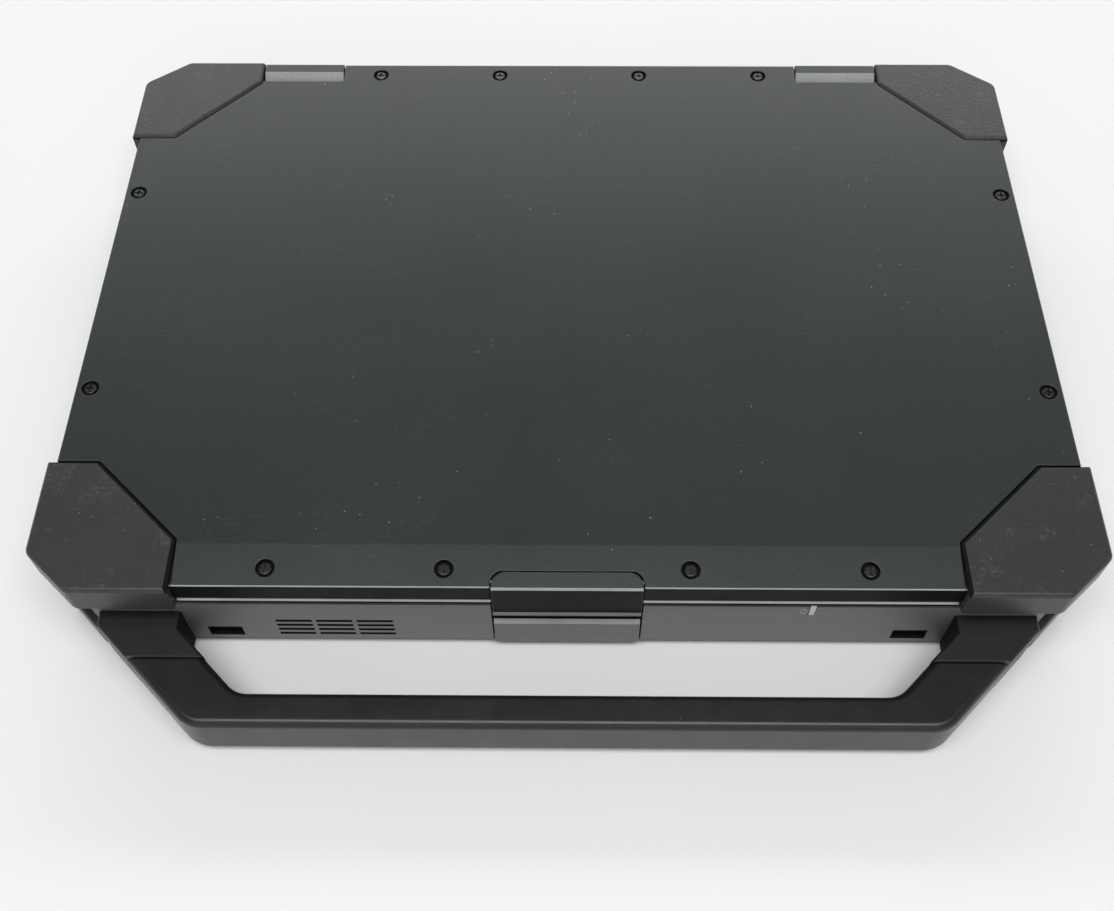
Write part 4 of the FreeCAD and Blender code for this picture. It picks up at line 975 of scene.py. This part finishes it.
def keycap_tree():
    """Tiles in, finished caps with stems out."""
    tree, given, result = new_tree(
        "keycaps", Wall="Float", Lean="Float", Rim="Float", Dish_Margin="Float", Dish_Depth="Float",
        Stem_Size="Vector", Finish="Material")
    rim, depth, margin = given["Rim"], given["Dish Depth"], given["Dish Margin"]
    mesh, top = push_step(tree, given["Geometry"], True, given["Wall"], given["Lean"])
    steps = [(times(tree, rim, up), times(tree, rim, inward)) for up, inward in rim_shares]
    steps += [(times(tree, depth, share), margin) for share in dish_shares]
    for rise, inset in steps:
        mesh, top = push_step(tree, mesh, top, rise, inset)
    under = grow(tree, "FlipFaces", Mesh=given["Geometry"])[0]
    closed = grow(
        tree, "MergeByDistance", Geometry=join(tree, mesh, under), Distance=merge_gap)[0]
    middles = grow(tree, "MeshToPoints", {"mode": "FACES"}, Mesh=given["Geometry"])[0]
    stem = grow(tree, "MeshCube", Size=given["Stem Size"])[0]
    drop = compute(tree, "MULTIPLY", given["Stem Size"], (0.0, 0.0, -0.5), "VectorMath")
    lowered = grow(tree, "Transform", Geometry=stem, Translation=drop)[0]
    stems = grow(tree, "InstanceOnPoints", Points=middles, Instance=lowered)[0]
    return hand_over(tree, join(tree, closed, stems), given, result)


keycaps = keycap_tree()
for row in key_rows:
    low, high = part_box(row)
    cap_foot = high.z - cap_height
    caps = run_tree(
        row + "_caps", keycaps, tile_mesh(row + "_tiles", key_boxes[row], cap_foot),
        Wall=cap_height - key_rim, Lean=wall_lean, Rim=key_rim, Dish_Margin=dish_margin,
        Dish_Depth=dish_depth, Stem_Size=(stem_width, stem_width, cap_foot - low.z),
        Finish=finishes["key_plastic"])
    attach(caps, body_of[row])
    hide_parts(row)
    print(row, "keys:", len(key_boxes[row]), "faces:", len(caps.data.polygons))

# %% [markdown]
# Letters are printed on the caps. A picture of them would blur close up, so they are thin meshes:
# a text object is turned into a mesh at the origin, then carried to its key. One mesh per row
# rides with that row.

# %% Key letters
letter_height = 4.4 * mm
word_height = 2.8 * mm
letter_thickness = 0.02 * mm
letter_curve_steps = 3
letter_inset = Vector((2.7, -2.5, 0.0)) * mm
function_keys = ["F" + str(number) for number in range(1, 13)]
key_letters = {
    "function_key_row": ["Esc"] + function_keys + ["Ins", "Prt", "Del"],
    "number_key_row": list("`1234567890-=") + ["Back"],
    "upper_key_row": ["Tab"] + list("QWERTYUIOP[]\\"),
    "home_key_row": ["Caps"] + list("ASDFGHJKL;'") + ["Enter"],
    "lower_key_row": ["Shift"] + list("ZXCVBNM,./") + ["Shift"],
    "space_key_row": ["Ctrl", "Fn", "Sys", "Alt", "", "Alt", "Ctrl", "<", "^", "v", ">"],
}


def letter_mesh(text):
    """A word as a thin flat mesh, its top left corner at the origin."""
    curve = bpy.data.curves.new("letters", "FONT")
    curve.body = text
    curve.size = letter_height if len(text) == 1 else word_height
    curve.extrude = letter_thickness
    curve.resolution_u = letter_curve_steps
    curve.align_y = "TOP"
    carrier = bpy.data.objects.new("letters", curve)
    scene.collection.objects.link(carrier)
    mesh = final_mesh(carrier)
    bpy.data.objects.remove(carrier)
    return mesh


def row_letters(row):
    """All letters of one row, each lying in its key's dish."""
    work = bmesh.new()
    for (low, high), text in zip(key_boxes[row], key_letters[row]):
        if text:
            mesh = letter_mesh(text)
            corner = Vector((low.x, high.y, high.z - dish_depth)) + letter_inset
            mesh.transform(Matrix.Translation(corner))
            work.from_mesh(mesh)
    mesh = bpy.data.meshes.new(row + "_letters")
    work.to_mesh(mesh)
    work.free()
    return mesh


for row in key_rows:
    letters = place_piece(row + "_letters", row_letters(row), finishes["key_legend"])
    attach(letters, body_of[row])
    print(row, "letter faces:", len(letters.data.polygons))

# %% [markdown]
# A screw is a low round head with a sloping rim, a cut cross and a shank below. A head joined
# from pieces would leave faces inside, so it is one cylinder whose top is pushed up and drawn in.
# Two bars are then cut out of it.

# %% Screw tree
head_sides = 32
shank_sides = 20


def lower(tree, mesh, depth):
    """A mesh moved down by a depth."""
    drop = add(tree, "CombineXYZ", Z=times(tree, depth, -1.0)).outputs[0]
    return grow(tree, "Transform", Geometry=mesh, Translation=drop)[0]


def rimmed_head(tree, radius, height, rim):
    """A low cylinder with a sloping rim, its face at the height of the points."""
    drum = grow(
        tree, "MeshCylinder", Vertices=head_sides, Radius=radius,
        Depth=compute(tree, "SUBTRACT", height, rim))
    raised = grow(
        tree, "ExtrudeMesh", {"mode": "FACES"}, Mesh=drum["Mesh"],
        Selection=drum["Top"], Offset_Scale=rim)
    drawn_in = compute(tree, "DIVIDE", compute(tree, "SUBTRACT", radius, rim), radius)
    crowned = grow(
        tree, "ScaleElements", Geometry=raised["Mesh"], Selection=raised["Top"],
        Scale=drawn_in)[0]
    return lower(tree, crowned, times(tree, compute(tree, "ADD", height, rim), 0.5))


def screw_tree():
    """Points in, screws out, their heads' faces on the points."""
    tree, given, result = new_tree(
        "screws", Head_Radius="Float", Head_Height="Float", Rim="Float", Shank_Radius="Float",
        Shank_Length="Float", Cross_Size="Vector", Turn="Vector", Finish="Material")
    height, length = given["Head Height"], given["Shank Length"]
    crossed = rimmed_head(tree, given["Head Radius"], height, given["Rim"])
    across = grow(tree, "MeshCube", Size=given["Cross Size"])[0]
    turned = grow(tree, "Transform", Geometry=across, Rotation=(0.0, 0.0, math.pi / 2))[0]
    for bar in (across, turned):
        crossed = grow(
            tree, "MeshBoolean", {"operation": "DIFFERENCE", "solver": "EXACT"}, Mesh_1=crossed,
            Mesh_2=bar)[0]
    shank = grow(
        tree, "MeshCylinder", Vertices=shank_sides, Radius=given["Shank Radius"],
        Depth=length)["Mesh"]
    shank = lower(tree, shank, compute(tree, "ADD", times(tree, length, 0.5), height))
    placed = grow(
        tree, "InstanceOnPoints", Points=given["Geometry"], Instance=join(tree, crossed, shank),
        Rotation=given["Turn"])[0]
    return hand_over(tree, placed, given, result)


screws = screw_tree()
print("screw tree:", len(screws.nodes), "nodes")

# %% [markdown]
# The screws go where the solids they stand for are: in the lid facing up, in the base facing
# down. Typed-in places would go wrong if the case changed. The sunk ring round each lid screw is
# painted black, because it lies in shadow.

# %% Driven screws
ring_radius = 3.1 * mm
head_places = [((low + high) / 2, high.z) for low, high in solid_boxes("lid_screws")]


def in_screw_ring(place, way):
    """Whether a face lies in the sunk ring round a lid screw."""
    return any(
        (place - middle).xy.length < ring_radius and place.z < top for middle, top in head_places)


def drive_screws(node, facing_up, **sizes):
    """One mesh of screws in place of a node."""
    boxes = solid_boxes(node)
    places = [
        ((low.x + high.x) / 2, (low.y + high.y) / 2, high.z if facing_up else low.z)
        for low, high in boxes]
    turn = (0.0, 0.0, 0.0) if facing_up else (math.pi, 0.0, 0.0)
    radius = (boxes[0][1].x - boxes[0][0].x) / 2
    piece = run_tree(
        node + "_driven", screws, points_mesh(node + "_points", places), Head_Radius=radius, Turn=turn,
        Finish=finishes["screw_black"], **sizes)
    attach(piece, body_of[node])
    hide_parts(node)
    print(node, "screws:", len(places), "faces:", len(piece.data.polygons))


paint_faces("lid_cover", "recess_black", in_screw_ring)
drive_screws(
    "lid_screws", True, Head_Height=1.15 * mm, Rim=0.3 * mm, Shank_Radius=1.0 * mm,
    Shank_Length=9.0 * mm, Cross_Size=(2.9 * mm, 0.75 * mm, 1.5 * mm))
drive_screws(
    "base_screws", False, Head_Height=1.2 * mm, Rim=0.3 * mm, Shank_Radius=1.2 * mm,
    Shank_Length=25.0 * mm, Cross_Size=(3.0 * mm, 0.8 * mm, 1.5 * mm))

# %% [markdown]
# A soft bead seals the glass inside the bezel: a round profile swept along a rounded rectangle. A
# bevelled curve object would do as well; as a tree, the same bead also makes the printed ring
# below.

# %% Swept beads
bead_corner_steps = 6
seal_radius = 0.45 * mm
seal_corner = 1.5 * mm
glass_border = 4.5 * mm
seal_margin = glass_border + seal_radius


def bead_tree():
    """A bead along a rounded rectangle about the origin; the seed mesh is not used."""
    tree, given, result = new_tree(
        "bead", Width="Float", Height="Float", Corner="Float", Radius="Float", Finish="Material")
    outline = grow(
        tree, "CurvePrimitiveQuadrilateral", Width=given["Width"], Height=given["Height"])[0]
    path = grow(
        tree, "FilletCurve", {"mode": "POLY"}, Curve=outline, Count=bead_corner_steps,
        Radius=given["Corner"])[0]
    profile = round_profile(tree, given["Radius"])
    bead = grow(tree, "CurveToMesh", Curve=path, Profile_Curve=profile)[0]
    return hand_over(tree, bead, given, result)


beads = bead_tree()
glass_low, glass_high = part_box("touch_glass")
seal = run_tree(
    "screen_seal", beads, points_mesh("seal_seed", []),
    Width=glass_high.x - glass_low.x - 2 * seal_margin,
    Height=glass_high.y - glass_low.y - 2 * seal_margin, Corner=seal_corner, Radius=seal_radius,
    Finish=finishes["inner_plastic"])
seal_place = (0.0, (glass_low.y + glass_high.y) / 2, glass_low.z - seal_radius)
seal.data.transform(Matrix.Translation(seal_place))
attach(seal, "lid")
print("seal: faces", len(seal.data.polygons))

# %% [markdown]
# The battery packs and port doors have finger ribs. An Array modifier could repeat one; a tree
# sets ribs on any points. Each door and pack has its own mesh, because each moves by itself.

# %% Finger ribs
rib_radius = 0.35 * mm
rib_pitch = 2.0 * mm
pack_rib_half = 4.5 * mm
door_rib_half = 9 * mm
door_rib_drop = 2 * mm
pack_rib_steps = range(-3, 4)
door_rib_steps = range(3)


def rib_tree():
    """Points in, ribs out; Along is half of a rib."""
    tree, given, result = new_tree("finger_ribs", Along="Vector", Radius="Float", Finish="Material")
    along = given["Along"]
    back = add(tree, "VectorMath", {"operation": "SCALE"}, Vector=along, Scale=-1.0).outputs[0]
    line = grow(tree, "CurvePrimitiveLine", Start=back, End=along)[0]
    profile = round_profile(tree, given["Radius"])
    rib = grow(tree, "CurveToMesh", Curve=line, Profile_Curve=profile, Fill_Caps=True)[0]
    ribs = grow(tree, "InstanceOnPoints", Points=given["Geometry"], Instance=rib)[0]
    return hand_over(tree, ribs, given, result)


def set_ribs(node, places, along):
    """Ribs on one battery or door."""
    piece = run_tree(
        node + "_ribs", finger_ribs, points_mesh(node + "_rib_points", places), Along=along,
        Radius=rib_radius, Finish=finishes[slot_of[node]])
    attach(piece, body_of[node])
    print(node, "ribs:", len(places))


def door_heights(top):
    """Heights of the ribs on a door, from its top edge down."""
    return [top - door_rib_drop - step * rib_pitch for step in door_rib_steps]


finger_ribs = rib_tree()
for side, outward in sides.items():
    low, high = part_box("battery_" + side)
    outer = high.x if outward > 0 else low.x
    middle = (low + high) / 2
    places = [(outer, middle.y + step * rib_pitch, middle.z) for step in pack_rib_steps]
    set_ribs("battery_" + side, places, (0.0, 0.0, pack_rib_half))
    low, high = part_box("port_door_" + side)
    outer = high.x if outward > 0 else low.x
    places = [(outer, (low.y + high.y) / 2, height) for height in door_heights(high.z)]
    set_ribs("port_door_" + side, places, (0.0, door_rib_half, 0.0))
    low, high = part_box("port_door_rear_" + side)
    places = [((low.x + high.x) / 2, high.y, height) for height in door_heights(high.z)]
    set_ribs("port_door_rear_" + side, places, (door_rib_half, 0.0, 0.0))

# %% [markdown]
# Two black seal bars lie along the front of the deck, where the closed lid leaves a dark gap; their
# black is painted shade for that gap. Stretched cylinders would do, but the bars are only long ribs,
# so the same tree makes them.

# %% Front seals
seal_bar_radius = 0.55 * mm
seal_bar_ends = (27 * mm, 122 * mm)
seal_bar_setback = 0.75 * mm
seal_bar_lift = 0.2 * mm
deck_low, deck_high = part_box("top_deck")
bar_half = (seal_bar_ends[1] - seal_bar_ends[0]) / 2
bar_middle = (seal_bar_ends[1] + seal_bar_ends[0]) / 2
bar_places = [
    (outward * bar_middle, deck_low.y + seal_bar_setback, deck_high.z + seal_bar_lift)
    for outward in sides.values()]
bars = run_tree(
    "front_seals", finger_ribs, points_mesh("front_seal_points", bar_places),
    Along=(bar_half, 0.0, 0.0), Radius=seal_bar_radius, Finish=finishes["recess_black"])
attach(bars, "base")
print("front seals:", len(bar_places))

# %% [markdown]
# Beside the status light is a small printed ring. A picture could carry it, but a very thin bead
# stays sharp at any distance. The seal's tree makes it, and it is turned to face the front.

# %% Status ring
ring_size = Vector((1.9, 2.6)) * mm
ring_corner = 0.9 * mm
ring_line = 0.16 * mm
ring_gap = 1.9 * mm
ring_rise = 2.3 * mm
pipe_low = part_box("status_light_pipe")[0]
ring_mark = run_tree(
    "status_ring", beads, points_mesh("ring_seed", []), Width=ring_size.x, Height=ring_size.y,
    Corner=ring_corner, Radius=ring_line, Finish=finishes["printed_mark"])
ring_place = Vector((pipe_low.x - ring_gap, front_wall, pipe_low.z + ring_rise))
ring_mark.data.transform(Matrix.Translation(ring_place) @ Matrix.Rotation(math.pi / 2, 4, "X"))
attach(ring_mark, "base")
print("ring mark at", [round(value / mm, 1) for value in ring_place])
